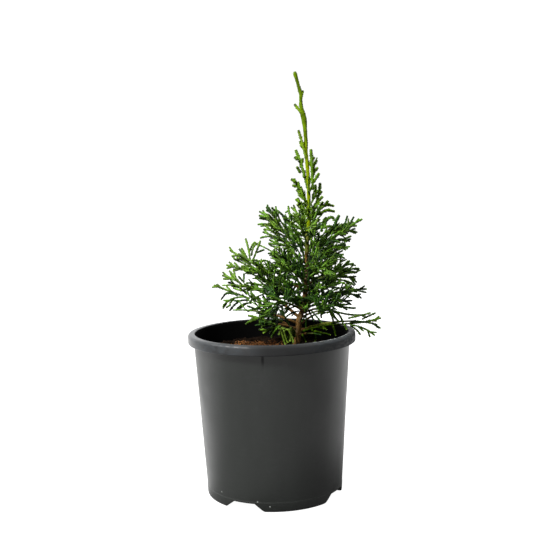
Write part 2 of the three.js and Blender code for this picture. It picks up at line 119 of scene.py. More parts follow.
# A spray leaves the trunk at a height and azimuth, and runs out by reach and up by rise.
# The first share of its line, bare, is a bough, and its foliage has twigs up to spread long.
SPRAY_COLUMNS = ("name", "height", "azimuth", "reach", "rise", "bare", "spread")
SPRAY_ROWS = [
    ("low_right", 160, -14, 80, 9, 0.42, 30),
    ("low_left", 162, 206, 56, 7, 0.4, 28),
    ("low_front_right", 156, -44, 40, 2, 0.3, 20),
    ("low_front_left", 156, 236, 19, -5, 0, 15),
    ("low_back_right", 166, 46, 66, 8, 0.36, 30),
    ("low_back_left", 158, 130, 60, 13, 0.36, 30),
    ("mid_left", 173, 182, 84, 33, 0.3, 34),
    ("mid_left_under", 167, 201, 77, 19, 0.36, 30),
    ("mid_right", 184, -5, 62, 16, 0.24, 31),
    ("mid_right_under", 177, 16, 60, 5, 0.24, 28),
    ("mid_front_left", 180, 238, 58, 15, 0.24, 31),
    ("mid_front_right", 172, 306, 58, 14, 0.24, 31),
    ("mid_back_right", 187, 62, 62, 14, 0.24, 31),
    ("mid_back_left", 181, 120, 64, 16, 0.24, 31),
    ("high_left", 200, 184, 78, 24, 0.18, 33),
    ("high_left_upper", 213, 168, 60, 38, 0, 28),
    ("high_right", 205, -10, 53, 17, 0.18, 31),
    ("high_right_upper", 222, 10, 44, 20, 0, 28),
    ("high_front_left", 209, 232, 50, 19, 0.18, 28),
    ("high_front_right", 211, 302, 47, 18, 0.18, 28),
    ("high_back_left", 206, 124, 54, 20, 0.18, 28),
    ("high_back_right", 215, 58, 52, 20, 0.18, 28),
    ("upper_left", 238, 181, 46, 38, 0, 34),
    ("upper_right", 240, -3, 54, 29, 0, 33),
    ("upper_front", 245, 254, 36, 27, 0, 29),
    ("upper_back", 242, 92, 40, 28, 0, 30),
    ("top_left", 262, 184, 27, 18, 0, 24),
    ("top_right", 266, -8, 22, 22, 0, 23),
    ("top_front", 268, 274, 16, 21, 0, 20),
    ("top_back", 264, 88, 17, 22, 0, 20),
    ("spire_left", 284, 184, 18, 26, 0, 14),
    ("spire_right", 282, 4, 14, 24, 0, 14),
    ("spire_left_upper", 302, 172, 11.5, 35, 0, 12),
    ("spire_right_upper", 300, -10, 12, 38, 0, 12),
    ("spire_left_tip", 330, 180, 7, 26, 0, 9),
    ("spire_front", 292, 268, 11, 28, 0, 12),
    ("spire_back", 294, 92, 11, 28, 0, 12),
]
SPRAY_EXTRAS = {"mid_left": {"arch": 13, "thick": 1.7}}
SPIRE = Values(above=280, per_twig=6.5, angle=30, width=0.55)
BOUGH = Values(arch=0.07, thin=0.8, thick_per_reach=0.007, foot=1.15, end=0.8, rings=3)
STEM = Values(rings=4, end=0.8, tip=9, per_twig=8.7, fewest=2, roll_step=67, seed_step=17)

# How twigs leave a stem: in a spiral, shorter towards the stem's tip
TWIG = {
    "first": 0.03, "last": 0.95, "step": 137.5, "angle": 48, "taper": 0.55, "vary": 0.15,
    "flat": 0.8, "bend": 0.35, "width": 1, "radius": 1.0, "tested": 0.6,
}
# The outline that each fan of shoots keeps to, as shares of its length and half width
FAN = Values(
    length=25, half_width=9.2, thickness=2.2, heart=0.42,
    edge=[(0.55, 1), (0.42, 0.3), (0.86, 0.72), (0.7, 0.2)],
    sunk=0.6, beyond_twig=0.6, sizes=[1.25, 1.1, 0.95, 0.8, 0.62], smallest=0.36,
    shrink=0.85, colour_at=0.6,
)
GAP = 0.3
POT_CLEARANCE = 2
UPRIGHT = 0.2

# Where the camera stands, in millimetres, how it is turned, in degrees, and its picture in points
CAMERA_PLACE = Vector((0.0, -933.85, 322.42))
CAMERA_PITCH = 5.971
CAMERA_YAW = -0.221
CAMERA_ROLL = -1.284
LENS = 64.7
SENSOR = 36
PICTURE = 533


def lerp(a, b, t):
    return a + (b - a) * t


def dice(seed):
    """Seeded numbers from 0 to 1, the same as in the solids."""
    state = seed
    while True:
        state = (state * 1664525 + 1013904223) % 4294967296
        yield state / 4294967296


def rounded(value):
    return math.floor(value + 0.5)


def swing(reach, roll):
    """A seeded number between minus reach and reach."""
    return lerp(-reach, reach, next(roll))


def varied(share, roll):
    """A seeded factor that differs from 1 by no more than the share."""
    return lerp(1 - share, 1 + share, next(roll))


def either_hand(roll):
    return 1 if next(roll) < 0.5 else -1


def on_curve(start, middle, end, share):
    """The point at a share of a curve that is drawn towards its middle point."""
    return start.lerp(middle, share).lerp(middle.lerp(end, share), share)


def bent(along, out, angle):
    """A direction turned by an angle from one way towards another that is square to it."""
    return along * math.cos(angle) + out * math.sin(angle)


def camera_axes():
    """The camera's directions to the right, up and forward."""
    pitch, yaw, roll = (math.radians(a) for a in (CAMERA_PITCH, CAMERA_YAW, CAMERA_ROLL))
    forward = Vector((math.sin(yaw) * math.cos(pitch), math.cos(yaw) * math.cos(pitch), -math.sin(pitch)))
    right = Vector((math.cos(yaw), -math.sin(yaw), 0))
    up = right.cross(forward)
    return right * math.cos(roll) + up * math.sin(roll), up * math.cos(roll) - right * math.sin(roll), forward


CAMERA_AXES = camera_axes()


def seen_at(point):
    """Where in the picture a point of the plant is seen."""
    right, up, forward = CAMERA_AXES
    to = point - CAMERA_PLACE
    scale = LENS / SENSOR * PICTURE / to.dot(forward)
    return PICTURE / 2 + scale * to.dot(right), PICTURE / 2 - scale * to.dot(up)


def placed_at(spot, depth):
    """The point of the plant that is seen at a spot of the picture, so far behind the trunk."""
    right, up, forward = CAMERA_AXES
    ray = forward * (LENS / SENSOR * PICTURE) + right * (spot[0] - PICTURE / 2) + up * (PICTURE / 2 - spot[1])
    return CAMERA_PLACE + ray * ((depth - CAMERA_PLACE.y) / ray.y)


# The plant's lines

def trunk_at(height, line=TRUNK_LINE):
    """The trunk's point and radius at a height, smooth through the points of its line."""
    last = len(line) - 1
    k = 0
    while k < last - 1 and height > line[k + 1][0]:
        k += 1
    a, b = line[k], line[k + 1]
    before, after = line[max(k - 1, 0)], line[min(k + 2, last)]
    span = b[0] - a[0]
    t = (height - a[0]) / span

    def smooth(i):
        slope_a = (b[i] - before[i]) / (b[0] - before[0]) * span
        slope_b = (after[i] - a[i]) / (after[0] - a[0]) * span
        return (
            (2 * t**3 - 3 * t**2 + 1) * a[i]
            + (t**3 - 2 * t**2 + t) * slope_a
            + (3 * t**2 - 2 * t**3) * b[i]
            + (t**3 - t**2) * slope_b
        )

    return Vector((smooth(1), smooth(2), height)), lerp(a[3], b[3], t)


def trunk_line(low, high, rings):
    """The trunk's points and radii between two heights."""
    return [trunk_at(lerp(low, high, k / rings)) for k in range(rings + 1)]


def as_limb(line, swell=1.0):
    """The points of a line, and its radii made larger by a share."""
    return [p for p, _ in line], [r * swell for _, r in line]


def grown_sprays():
    """The table of sprays with what follows from each row."""
    sprays = []
    for index, row in enumerate(SPRAY_ROWS):
        spray = dict(zip(SPRAY_COLUMNS, row))
        length = math.hypot(spray["reach"], spray["rise"])
        spire = spray["height"] > SPIRE.above
        per_twig = SPIRE.per_twig if spire else STEM.per_twig
        if spire:
            spray.update(angle=SPIRE.angle, width=SPIRE.width)
        spray.update(
            length=length,
            arch=spray["reach"] * BOUGH.arch,
            thick=BOUGH.thin + spray["reach"] * BOUGH.thick_per_reach,
            twigs=STEM.fewest + rounded(length * (1 - spray["bare"]) / per_twig),
            turn=index * STEM.roll_step,
        )
        spray["facing"] = abs(math.sin(math.radians(spray["azimuth"]))) ** FACING.power
        spray.update(SPRAY_EXTRAS.get(spray["name"], {}))
        sprays.append(spray)
    return sprays


def spray_line(spray, start, end, steps):
    """Points of a spray's arched line between two shares of it."""
    foot = trunk_at(spray["height"])[0]
    turn = math.radians(spray["azimuth"])
    points = []
    for k in range(steps + 1):
        share = lerp(start, end, k / steps)
        out = spray["reach"] * share
        rise = spray["rise"] * share + spray["arch"] * 4 * share * (1 - share)
        points.append(foot + Vector((out * math.cos(turn), out * math.sin(turn), rise)))
    return points


def direction_from(along, roll, angle, flat):
    """The direction that leaves a line at an angle, rolled round it from the level."""
    level = along.cross(UP)
    if level.length < UPRIGHT:
        level = Vector((0.0, -1.0, 0.0)) + along * along.y
    level.normalize()
    raised = level.cross(along).normalized() * (flat * math.sin(roll))
    sideways = (level * math.cos(roll) + raised).normalized()
    return bent(along, sideways, angle)


def on_stem(stem, share):
    """The point and direction at a share of a stem."""
    spot = share * (len(stem) - 1)
    ring = min(math.floor(spot), len(stem) - 2)
    return stem[ring].lerp(stem[ring + 1], spot - ring), (stem[ring + 1] - stem[ring]).normalized()


def wall_radius(height):
    return FOOT_RADIUS + FLARE * height


def soil_height(x, y):
    """The height of the soil's lumpy top, flat under the trunk."""
    foot = trunk_at(TRUNK_FOOT)[0]
    share = (math.hypot(x - foot.x, y - foot.y) - SOIL_FLAT) / (SOIL_EASE - SOIL_FLAT)
    share = min(max(share, 0.0), 1.0)
    ease = share * share * (3 - 2 * share)
    lumps = math.sin(x * 0.19 + 1.1) * math.cos(y * 0.23 - 0.4) + 0.5 * math.sin(x * 0.41 - y * 0.37)
    return SOIL_LEVEL + SOIL_RELIEF * ease * lumps


class Space:
    """What foliage keeps clear of: the pot, the limbs, and the lines of all the other sprays."""

    def __init__(self, sprays):
        trunk = trunk_line(TRUNK_FOOT, TRUNK_TOP, TRUNK_RINGS)
        limbs = self.segments(*as_limb(trunk), "trunk")
        lines = []
        for s in sprays:
            if s["bare"] > 0:
                rings = BOUGH.rings
                thick = [s["thick"] * BOUGH.foot] * (rings + 1)
                limbs += self.segments(spray_line(s, 0, s["bare"], rings), thick, s["name"])
            rings = 2 * STEM.rings
            lines += self.segments(spray_line(s, 0, 1, rings), [s["thick"]] * (rings + 1), s["name"])
        leader = trunk_line(TRUNK_TOP, TRUNK_TIP, LEADER_RINGS)
        lines += self.segments(*as_limb(leader), "leader")
        self.limbs = self.arrays(limbs)
        self.lines = self.arrays(lines)
        self.owners = np.array([s[3] for s in lines])

    @staticmethod
    def segments(points, radii, owner):
        pairs = zip(points, points[1:], radii, radii[1:])
        return [(a, b, max(r, q), owner) for a, b, r, q in pairs]

    @staticmethod
    def arrays(segments):
        start = np.array([s[0] for s in segments])
        step = np.array([s[1] for s in segments]) - start
        return start, step, np.array([s[2] for s in segments])

    @staticmethod
    def distances(lines, points):
        start, step, _ = lines
        to = points[:, None, :] - start[None]
        share = np.clip((to * step).sum(2) / (step * step).sum(1), 0, 1)
        return np.linalg.norm(to - share[..., None] * step, axis=2)

    def holds(self, name, points, radius, slack=0.0):
        """True if all the points, with this radius round them, stay in the spray's own space, or
        go out of it by less than the slack."""
        points = np.array(points)
        margin = radius + GAP
        out = np.hypot(points[:, 0], points[:, 1])
        rim, height = POT_HIGH.x / MM, POT_HIGH.z / MM
        outside = (out > rim + margin) | (points[:, 2] > height + margin)
        mouth = wall_radius(height) - WALL - POT_CLEARANCE - margin
        within = (out < mouth) & (points[:, 2] > SOIL_LEVEL + POT_CLEARANCE + margin)
        if not np.all(outside | within):
            return False
        if np.any(self.distances(self.limbs, points) < self.limbs[2] + margin):
            return False
        away = self.distances(self.lines, points)
        mine = self.owners == name
        own = away[:, mine].min(axis=1)
        other = (away[:, ~mine] - self.lines[2][~mine]).min(axis=1)
        clear = (other - own > 2 * margin - slack) & (slack > 0 or other > margin)
        return bool(np.all(clear))


# How shoots stand on the axis of their fan, in millimetres, degrees and shares of its length
SHOOT = Values(
    spacing=4.4, first=0.06, last=0.82, place=(0.1, 0.7), reach=0.85, fade=0.9,
    vary=(0.62, 1.12), angle=22, spread=8, turn_in=3, tilt=0.5, shortest=4.5,
    branched=13, tip=0.8, end_fan=28, end_share=0.7,
)
# How small shoots stand on those
SMALL = Values(
    spacing=9, angle=26, reach=(4.5, 8), fade=(1.1, 0.7), place=(0.2, 0.8),
    first=0.35, last=0.88, tilt=0.2,
)
# The radius of each kind of shoot at its foot and tip, as shares of the settings' radius
THICKNESS = {
    "axis": (0.9, 1.2), "side": (0.86, 1.1), "small": (0.9, 1.05),
    "shown": (1.15, 1.5), "shown_side": (1.1, 1.4),
}
# Finer fans that stand between those of the solids, straight on the stems and twigs
FINE = Values(
    apart=4.6, last=0.9, angle=40, turn=69, size=1.15, vary=0.3, slack=9,
    short_bough=0.3, from_foot=0.04,
)
# Sprays that are more open than the rest, by the share of their fans that is left out
OPEN = {
    "high_left_upper": 0.2, "low_left": 0.3, "low_right": 0.3, "low_front_left": 0.5, "low_front_right": 0.6,
    "mid_front_left": 0.5, "mid_front_right": 0.5, "high_front_left": 0.5, "high_front_right": 0.5,
    "upper_front": 0.5,
}
# How far a fan's foot and tip turn from their own direction to the spray's, how much that one rises,
# and how far a fan may pass the spray's tip, or a tip so far off that it holds nothing back
COMB = Values(foot=0.12, tip=0.36, rise=0.25, past=1.0)
NO_TIP = Vector((0.0, 0.0, 1000.0))
# Sprays that come straight towards the front or the back spread their fans wide and raise them
FACING = Values(angle=26, rise=1.6, power=1.5)
# Fans straight on the trunk, and the heights where its front stays bare
TRUNK_FANS = Values(
    low=176, high=276, count=34, step=137.5, angle=58, size=20, vary=0.3,
    bare=(214, 242), front=-0.5,
)
# Seeds of the random rows that are not a spray's own
SEEDS = Values(trunk_fans=31, leader_scales=53, crumbs=401, shown=601, fibres=977)
# Deep green is a shaded copy of the middle green, as painted shade, and bright green a lit one, as painted
# light, which is also the tip colour of middle-green shoots
COLOURS = ("deep", "mid", "bright", "fresh", "spire", "leader")
TIP_COLOURS = {
    "deep": "mid", "mid": "bright", "bright": "fresh", "fresh": "fresh", "spire": "fresh", "leader": "leader",
}
# Where the crown is how wide, as height and reach from the trunk, and how colours follow that: deep near the
# trunk as painted shade, bright at the crown's edge as painted light
CROWN_LOW = (165, 78)
CROWN_HIGH = (300, 16)
DEEP_SHARE = 0.5
MID_SHARE = 0.86
SPIRE_HEIGHT = 272
# How much they vary by chance, and how much darker they get below a share of the crown's height, as painted
# shade low in the crown and painted light high in it
COLOUR_SWING = 0.22
PAINTED_SHADE_BY_HEIGHT = 0.72
EVEN_SHARE = 0.6


# Shoots that stand out of the crown, under their place's name with its colour, depth, lean, spread of
# depths and width of shoots. A row is a shoot: its spots in the picture from foot to tip, each as right
# and down, and then the number of its side shoots, if it has any.
# Each group's colour is deep where it lies in shade and bright where light falls on it, as painted shade and
# painted light.
SHOWN = {
    "left": ("bright", 2, 0, 8, 1.05, [
        (250, 298.5, 232, 292, 213.6, 285, 3), (222, 288.5, 216.5, 284),
        (245, 287, 233, 279, 221.8, 275.5, 3), (229, 278, 222.7, 279), (241, 284, 229, 270.5, 1),
        (252, 272.5, 239, 268, 226, 265, 3), (232, 267, 226.4, 268.5), (240, 268.5, 234, 262.4),
        (241, 269, 232.7, 271), (251, 263.5, 241, 257, 229.5, 250, 2), (238, 255.5, 231.4, 256),
        (245, 257, 239, 248.7), (247, 258, 241.4, 247.8), (246, 264.5, 233.6, 258.7, 1),
        (250, 260, 248.4, 249, 245.5, 238.3), (253, 262, 246, 258, 238, 253.5, 1),
        (251, 265, 244, 261, 236.5, 257, 1), (249, 262, 244.5, 254, 242, 250),
        (251.5, 256, 253.5, 247, 258, 243.5), (253, 260, 257, 250, 260.5, 240.5),
        (256.5, 252.6, 264.5, 249.6), (249.5, 251.5, 253, 244, 255.7, 242.8),
        (247, 294.5, 237, 286, 227.7, 282.4, 2), (242, 291, 232.7, 287.8), (243, 281.5, 238.2, 276),
        (243.6, 283, 244, 273.3),
    ]),
    "left_under": ("deep", -4, 0, 8, 1.05, [
        (238, 295.5, 228, 293.3, 223.6, 296.5, 1), (246, 297, 232, 299, 222.7, 307, 2),
        (226.4, 303.3, 222.7, 308.7), (248, 301, 239, 301.5, 229.5, 311, 1), (231, 304.5, 226, 307.8),
        (252, 303, 243, 304.5, 236, 310.5, 1), (262, 309, 254, 309.5, 247.3, 311.5, 1),
    ]),
    "low_left": ("bright", -12, 0, 5, 1.15, [
        (276, 325, 262, 319, 247.7, 315.5, 2), (262, 318, 254, 319.5, 245.5, 324.5), (257, 319, 250, 322),
        (280, 326, 270, 328.5, 259, 330), (274, 325.5, 269, 330, 263, 333.6),
        (281, 326, 276, 330, 271.4, 337.9), (276, 326, 269.5, 334.3), (266, 320, 262, 328),
        (273, 323, 262, 326),
    ]),
    "hanging": ("fresh", -36, 0, 3, 1.05, [
        (280.5, 328, 283, 337, 285.5, 345), (283, 328, 286.5, 337, 288.5, 345),
        (286, 329, 289.5, 337, 291.5, 345), (279, 328, 281.5, 335, 283.5, 341),
        (290.5, 330, 293.5, 335, 292.5, 341), (284, 330, 285.5, 337, 288, 343),
        (283, 327, 280.5, 331, 279, 335), (287, 329, 290, 333, 292, 338), (288, 330, 290.5, 336, 290, 342),
        (290, 328, 294, 331, 295, 337), (285, 328, 284.5, 334, 287, 341), (289, 329, 292, 336, 293.5, 343),
    ]),
    "upper_left": ("mid", 0, 0, 7, 1.0, [
        (290, 240.5, 276, 219, 266, 206.8, 4), (272, 214, 266.5, 209.5), (277, 216, 275.7, 206),
        (283, 230, 271, 219, 259, 211.4, 2), (273, 218, 258.6, 215.4), (275, 221, 259, 218.2, 1),
        (282, 232, 270, 225, 257.5, 224.6, 1), (287, 243.6, 276, 234.5, 264.6, 225, 2),
        (284, 242, 273, 236, 262.5, 231.8, 2), (275, 236.4, 266, 236.6, 260, 238.2),
        (285, 244.5, 277, 243, 269, 239.6, 1), (285, 246, 269, 243.2), (290, 217, 288.2, 205.7),
        (289, 210.5, 285, 212.8), (300, 216, 291, 207, 1), (285, 217, 277.5, 210.4, 1),
        (277, 217, 271, 211, 268.5, 207), (279, 217, 274, 210.5, 272, 207.5),
        (279, 247, 272, 246, 268.6, 242.8), (277, 254.5, 267.7, 253.3),
    ]),
    "upper_right": ("mid", -13, 0, 7, 1.0, [
        (320, 247, 342, 231, 362.5, 219, 4), (349, 225.5, 354, 216.5), (344, 227.5, 347.5, 215.5),
        (349, 226.5, 357, 225.5), (325, 233, 334, 225, 339.5, 215.5, 1),
        (328, 241, 343, 232, 357.5, 232.5, 3), (349, 231, 355.5, 228.5),
        (325, 246, 338, 239.5, 350, 241.5, 2), (338, 241.5, 351.5, 236), (323, 249, 338, 246, 348, 249, 2),
        (339, 247, 346, 245), (328, 255, 344, 254.5, 2),
    ]),
    "right": ("bright", -3, 0, 9, 1.0, [
        (335, 270, 345, 265.5, 354, 263.5, 2), (345, 266, 350, 260.5),
        (335, 276, 348, 270, 359.5, 268.5, 3), (343, 273, 357.5, 272.5, 1), (339, 277.5, 356.5, 276.5, 1),
        (340, 276, 349, 277.5, 357, 282.5, 1), (340, 280, 348, 281.5, 354.5, 286, 1),
    ]),
    "right_under": ("deep", 0, 0, 10, 1.0, [
        (328, 294, 347, 290.5, 367, 289, 3), (355, 290, 366.5, 292.5),
        (330, 297, 350, 294, 361.5, 298.5, 2), (331, 299, 342, 300, 351.5, 305, 1),
        (343, 301.3, 352.5, 300.5), (332, 303, 344, 307, 356, 308, 1), (340, 305.5, 347.5, 310),
    ]),
    "low_right": ("mid", -10, 0, 6, 1.0, [
        (327, 308, 346, 314, 365.8, 314.8, 1), (363, 315, 370.8, 312.7), (348, 318.3, 360, 315.6),
        (361.7, 319.3, 375.8, 312.7), (337.5, 324, 360, 322.5, 381.3, 317.8, 3), (368, 320.3, 377, 321),
        (353, 322.7, 367, 322.5, 377.5, 325.2, 1), (374, 324, 380.8, 328.5),
        (350, 325, 363, 328, 375, 335.6, 2), (368, 331.5, 370, 337.3),
        (350, 325.5, 356.7, 330, 360.4, 335.2), (328, 309, 332.5, 318, 333.3, 325),
        (335, 311.5, 340, 316, 343, 323), (330, 308.5, 333, 315, 339, 321.5),
        (329, 312.5, 322, 314, 321.7, 318), (316, 306, 324, 311, 317, 314), (344, 324, 347, 330),
    ]),
    "under_right": ("spire", -12, 0, 4, 0.9, [
        (303, 331, 320, 326.5, 337.5, 324, 1), (311.7, 329.3, 314.5, 335, 315.4, 341.4),
        (314, 331, 330.8, 335.2), (333.3, 325.5, 335.8, 336), (302, 334, 306, 342), (322, 326, 327, 330),
    ]),
    "spire": ("spire", 0, 0, 4, 1.5, [
        (307.8, 189, 302.5, 169, 295.6, 149.7), (298, 160, 294.3, 156.9), (300.6, 168, 302.8, 158),
        (300.5, 173, 296.8, 166.6), (304, 178, 304.3, 170), (312.8, 190, 312, 169, 310.9, 149),
        (311.3, 161, 314.6, 156.9), (311.6, 168.5, 317, 160), (312.5, 176, 314.8, 171, 318, 167.5),
        (313, 183, 319.3, 173), (310.8, 165, 308, 161.9), (315, 207, 319, 193, 320, 182.8),
        (318.4, 195, 322, 191), (316.8, 203, 322.8, 196.3), (316, 197, 315.3, 184.5),
        (306.5, 204, 300, 188, 290.9, 179), (294.5, 183, 294.3, 178.6), (297, 186.5, 292.3, 185.3),
        (299.5, 190, 298, 181.6), (300.5, 194, 296.5, 189.4), (303, 198, 301.2, 188.1),
        (304, 213, 299.5, 202, 295.7, 200.3), (299, 203, 297.8, 198.1), (301, 208.5, 297.1, 204),
        (316, 214, 323, 206.5, 330.3, 204.4, 1), (323, 207, 328.4, 200.6),
        (318, 215, 325, 211, 330.3, 209.7, 1), (319, 209, 323, 201.6),
    ]),
    "tip": ("leader", 0, 0, 1, 1.35, [
        (301, 98, 303, 90.5), (302, 114, 294.3, 104), (306, 159, 303, 146, 298.3, 130),
        (302.3, 148, 299.8, 141),
    ]),
    "arcs": ("mid", -20, 0, 2, 1.45, [
        (321.5, 232, 323, 223, 326.7, 217.5), (324, 229, 326.5, 220.5, 331, 217.3),
        (329.5, 218, 332.5, 217.2, 334, 221), (324.5, 226.6, 332, 226.4),
        (334, 228, 336.2, 221, 339.5, 215),
    ]),
    "by_trunk": ("deep", -9, -3, 3, 0.9, [
        (304.5, 264, 303, 254, 300, 244, 1), (303.5, 272, 301.5, 263, 299, 254, 1),
        (304, 256, 302.5, 248, 301.5, 240, 1), (309, 262, 310, 252, 311, 243, 1),
        (308, 272, 310, 263, 312, 254, 1), (310, 270, 312, 261, 315, 252, 1),
        (302, 282, 300, 274, 296, 262, 2), (308.5, 284, 309, 276, 311, 266, 1),
        (301, 252, 299.5, 242, 297, 232, 1), (309.5, 252, 311.5, 240, 312, 228, 1),
        (305, 278, 303.5, 270, 302, 262, 1), (304, 285, 301, 278, 299, 270, 1),
    ]),
    "behind_trunk": ("deep", 9, 2, 5, 1.2, [
        (306, 292, 302, 289, 296.5, 290, 1), (306, 300, 301, 297, 295, 297, 1),
        (305, 303, 300, 300, 293, 299, 1), (304, 306, 299, 303, 292, 303, 1),
        (306, 296, 311, 291, 313, 286, 1), (306, 301, 311, 298, 314, 291, 1),
        (305, 304, 311, 302, 317, 301, 1), (306, 303, 312, 300, 318, 296, 1),
        (305, 306, 310, 306, 316, 304.5), (306, 285, 309, 280, 311, 275, 1),
        (306, 280, 302, 276, 299.5, 271, 1), (306, 275, 303, 270, 302, 264, 1),
        (306, 283, 304.5, 278, 304, 271), (307, 290, 312, 288, 317, 288.5, 1),
        (307, 278, 311, 275, 317, 274, 1), (306, 288, 301.5, 284.8, 295, 284, 1),
    ]),
    "across_trunk": ("mid", -9, -3, 4, 0.9, [
        (299, 271, 304, 269, 309.5, 268, 1), (290, 284.5, 298, 284.5, 307, 286, 1),
        (305, 291.5, 309, 290.3, 314.5, 290.5), (305.5, 276, 308.5, 281, 310, 289.5),
        (296, 296.5, 302, 298.5, 310, 297.5, 1), (290, 298.5, 296, 302, 303, 306.5, 1),
        (294, 297, 301, 302, 307.5, 309, 1), (317, 289, 315.5, 295, 314, 301),
        (303, 299, 307.5, 303, 306, 310, 1), (314, 300, 309, 304, 304, 310, 1),
        (310.5, 263, 315, 268, 321, 273.5, 1), (307, 272, 304, 277, 303, 283),
        (309, 296, 305, 300, 299, 301.5, 1), (318, 299, 312, 301.5, 308, 306, 1),
    ]),
    "inner_upper_left": ("mid", -8, -6, 7, 0.8, [
        (304.5, 246, 298, 236, 292, 229, 2), (302, 257, 296, 247, 291, 237, 3),
        (299, 262, 292, 252, 284, 245, 3), (297, 252, 289, 238, 284, 225, 3),
        (293, 250, 285, 243, 277, 240, 2), (300, 246, 292, 232, 286, 216, 3),
        (294, 240, 292, 226, 291, 214, 2), (289, 236, 285, 222, 281, 213, 3),
        (284, 234, 278, 223, 271, 213, 3), (281, 228, 274, 220, 268, 214, 2),
        (286, 230, 279, 218, 274, 209, 3), (280, 236, 275, 229, 265, 224, 2),
        (303, 236, 300, 224, 297, 213, 3), (301, 228, 301, 219, 304, 212, 2),
        (296, 262, 294, 250, 292, 240, 2), (288, 248, 282, 240, 272, 236, 2),
        (296, 232, 290, 222, 283, 218, 2),
    ]),
    "inner_upper_right": ("mid", -15, -6, 7, 0.8, [
        (310, 246, 312, 236, 314, 226, 2), (311, 256, 314, 243, 315, 230, 3),
        (313, 258, 317, 246, 319, 233, 3), (315, 258, 321, 246, 326, 236, 3),
        (312, 262, 316, 252, 319, 242, 2), (318, 248, 328, 236, 338, 228, 3),
        (320, 250, 330, 239, 341, 231, 3), (318, 254, 328, 243, 338, 241, 2),
        (321, 256, 331, 249, 342, 247, 3), (322, 258, 333, 255, 343, 257, 2),
        (326, 250, 336, 246, 346, 244, 2), (311, 228, 315, 216, 320, 206, 3),
        (310, 238, 316, 230, 321, 222, 2), (320, 238, 325, 232, 327, 226, 1),
        (336, 236, 344, 230, 350, 222, 2), (312, 220, 312, 212, 315, 203, 2),
        (306, 226, 303, 217, 301, 208, 2),
    ]),
    "inner_left": ("mid", -12, -8, 8, 0.8, [
        (272, 288, 262, 276, 250, 266, 3), (272, 284, 262, 270, 254, 262, 3),
        (273, 284, 266, 271, 259, 260, 3), (275, 286, 271, 273, 267, 260, 3),
        (274, 292, 274, 277, 277, 264, 2), (279, 292, 280, 278, 282, 263, 3),
        (284, 290, 285, 280, 291, 267, 2), (277, 264, 274, 254, 276, 247, 1),
        (282, 264, 280, 254, 279, 247, 2), (287, 266, 285, 256, 284, 248, 2),
        (292, 268, 289, 258, 288, 250, 2), (297, 270, 293, 260, 290, 253, 2),
        (299, 276, 295, 267, 293, 258, 2), (266, 288, 256, 284, 246, 283, 2),
        (262, 290, 250, 288, 240, 285, 2), (262, 280, 252, 274, 246, 272, 2),
        (270, 290, 262, 283, 255, 277, 1), (268, 282, 261, 277, 257, 271, 1),
        (262, 262, 257, 260.5, 252, 260, 1), (272, 264, 267, 261, 262, 260.5, 1),
        (264, 294, 255, 298, 249, 303, 1), (300, 284, 290, 283, 279, 281, 3),
        (298, 298, 289, 294, 280, 288, 2), (290, 300, 277, 297, 263, 293, 3),
        (286, 304, 272, 303, 258, 300, 3), (270, 294, 262, 290, 252, 290.5, 1),
        (268, 300, 262, 305, 256, 308, 1), (296, 292, 288, 286, 284, 276, 2),
        (300, 290, 298, 280, 294, 272, 2),
    ]),
    "inner_right": ("mid", -12, -8, 8, 0.8, [
        (311.5, 264, 315, 268, 320.5, 272.5), (310, 276, 318, 270, 327, 262, 3),
        (322, 290, 330, 280, 337, 270, 3), (320, 286, 328, 276, 332, 266, 3),
        (326, 284, 334, 274, 342, 266, 3), (330, 284, 338, 277, 347, 273, 2),
        (326, 272, 331, 266, 336, 260.5, 1), (332, 272, 339, 264, 343, 259, 2),
        (315, 266, 318, 256, 319, 247, 2), (318, 268, 322, 258, 327, 251, 3),
        (324, 264, 331, 258, 339, 256, 2), (324, 290, 333, 284, 345, 283, 3),
        (328, 294, 340, 288, 350, 287, 2), (312, 284, 320, 280, 328, 279, 3),
        (310, 292, 318, 288, 326, 288, 3), (316, 302, 317, 294, 318, 286, 2),
        (309, 272, 314, 280, 318, 288, 1),
    ]),
    "inner_low": ("deep", -12, -6, 8, 0.8, [
        (316, 300, 326, 296, 338, 296, 2), (318, 304, 330, 301, 342, 299.5, 2),
        (320, 306, 332, 305, 342, 308, 2), (302, 304, 292, 300, 283, 297, 3),
        (305, 308, 297, 303, 292, 298, 2), (306, 309, 306, 318, 306, 328, 1),
        (308, 309, 311, 315, 314, 321), (311, 310, 317, 317, 322, 323), (280.5, 310, 285, 317, 289.5, 326),
        (278, 306, 270, 309, 262, 313, 2), (276, 314, 266, 315, 257, 319, 2),
        (310, 300, 318, 303, 326, 309, 3), (302, 300, 310, 298, 320, 299, 3),
        (296, 302, 300, 294, 304, 287, 2), (288, 304, 280, 307, 273, 311, 1),
        (297, 306, 291, 308, 285, 311.5, 1), (299, 311, 292, 313, 286, 317, 1),
        (296, 303, 290, 305, 286, 309, 1), (329, 308, 333, 313, 335, 318, 1),
    ]),
}
# Side shoots of those: their reach from the foot to the tip, and how wide they stand
SHOWN_SIDE = Values(reach=(10.5, 5), angle=26, first=0.25, last=0.9, tilt=0.5, vary=0.2)
SHOWN_TILT = 4
SHOWN_STRAY = 0.28
# The edge of the dense crown, as the picture's spots. The general growth ends there.
CROWN_EDGE = [
    (304, 184), (312, 184), (317, 196), (323, 206), (326, 210), (321, 217), (321, 228), (330, 229),
    (340, 222), (351, 222), (352, 231), (344, 237), (342, 245), (337, 251), (339, 258), (345, 264),
    (352, 270), (351, 284), (357, 290), (352, 297), (340, 302), (330, 307), (318, 311), (308, 314),
    (306, 330), (296, 330), (296, 318), (284, 313), (276, 316), (284, 326), (290, 338), (280, 336),
    (268, 330), (256, 321), (254, 314), (262, 309), (250, 304), (238, 302), (237, 297), (243, 294),
    (242, 285), (247, 280), (247, 274), (240, 270), (241, 263), (250, 258), (258, 257), (268, 256),
    (272, 250), (281, 246), (270, 238), (266, 230), (266, 222), (263, 214), (270, 210), (284, 214),
    (298, 210), (299, 200), (296, 190),
]
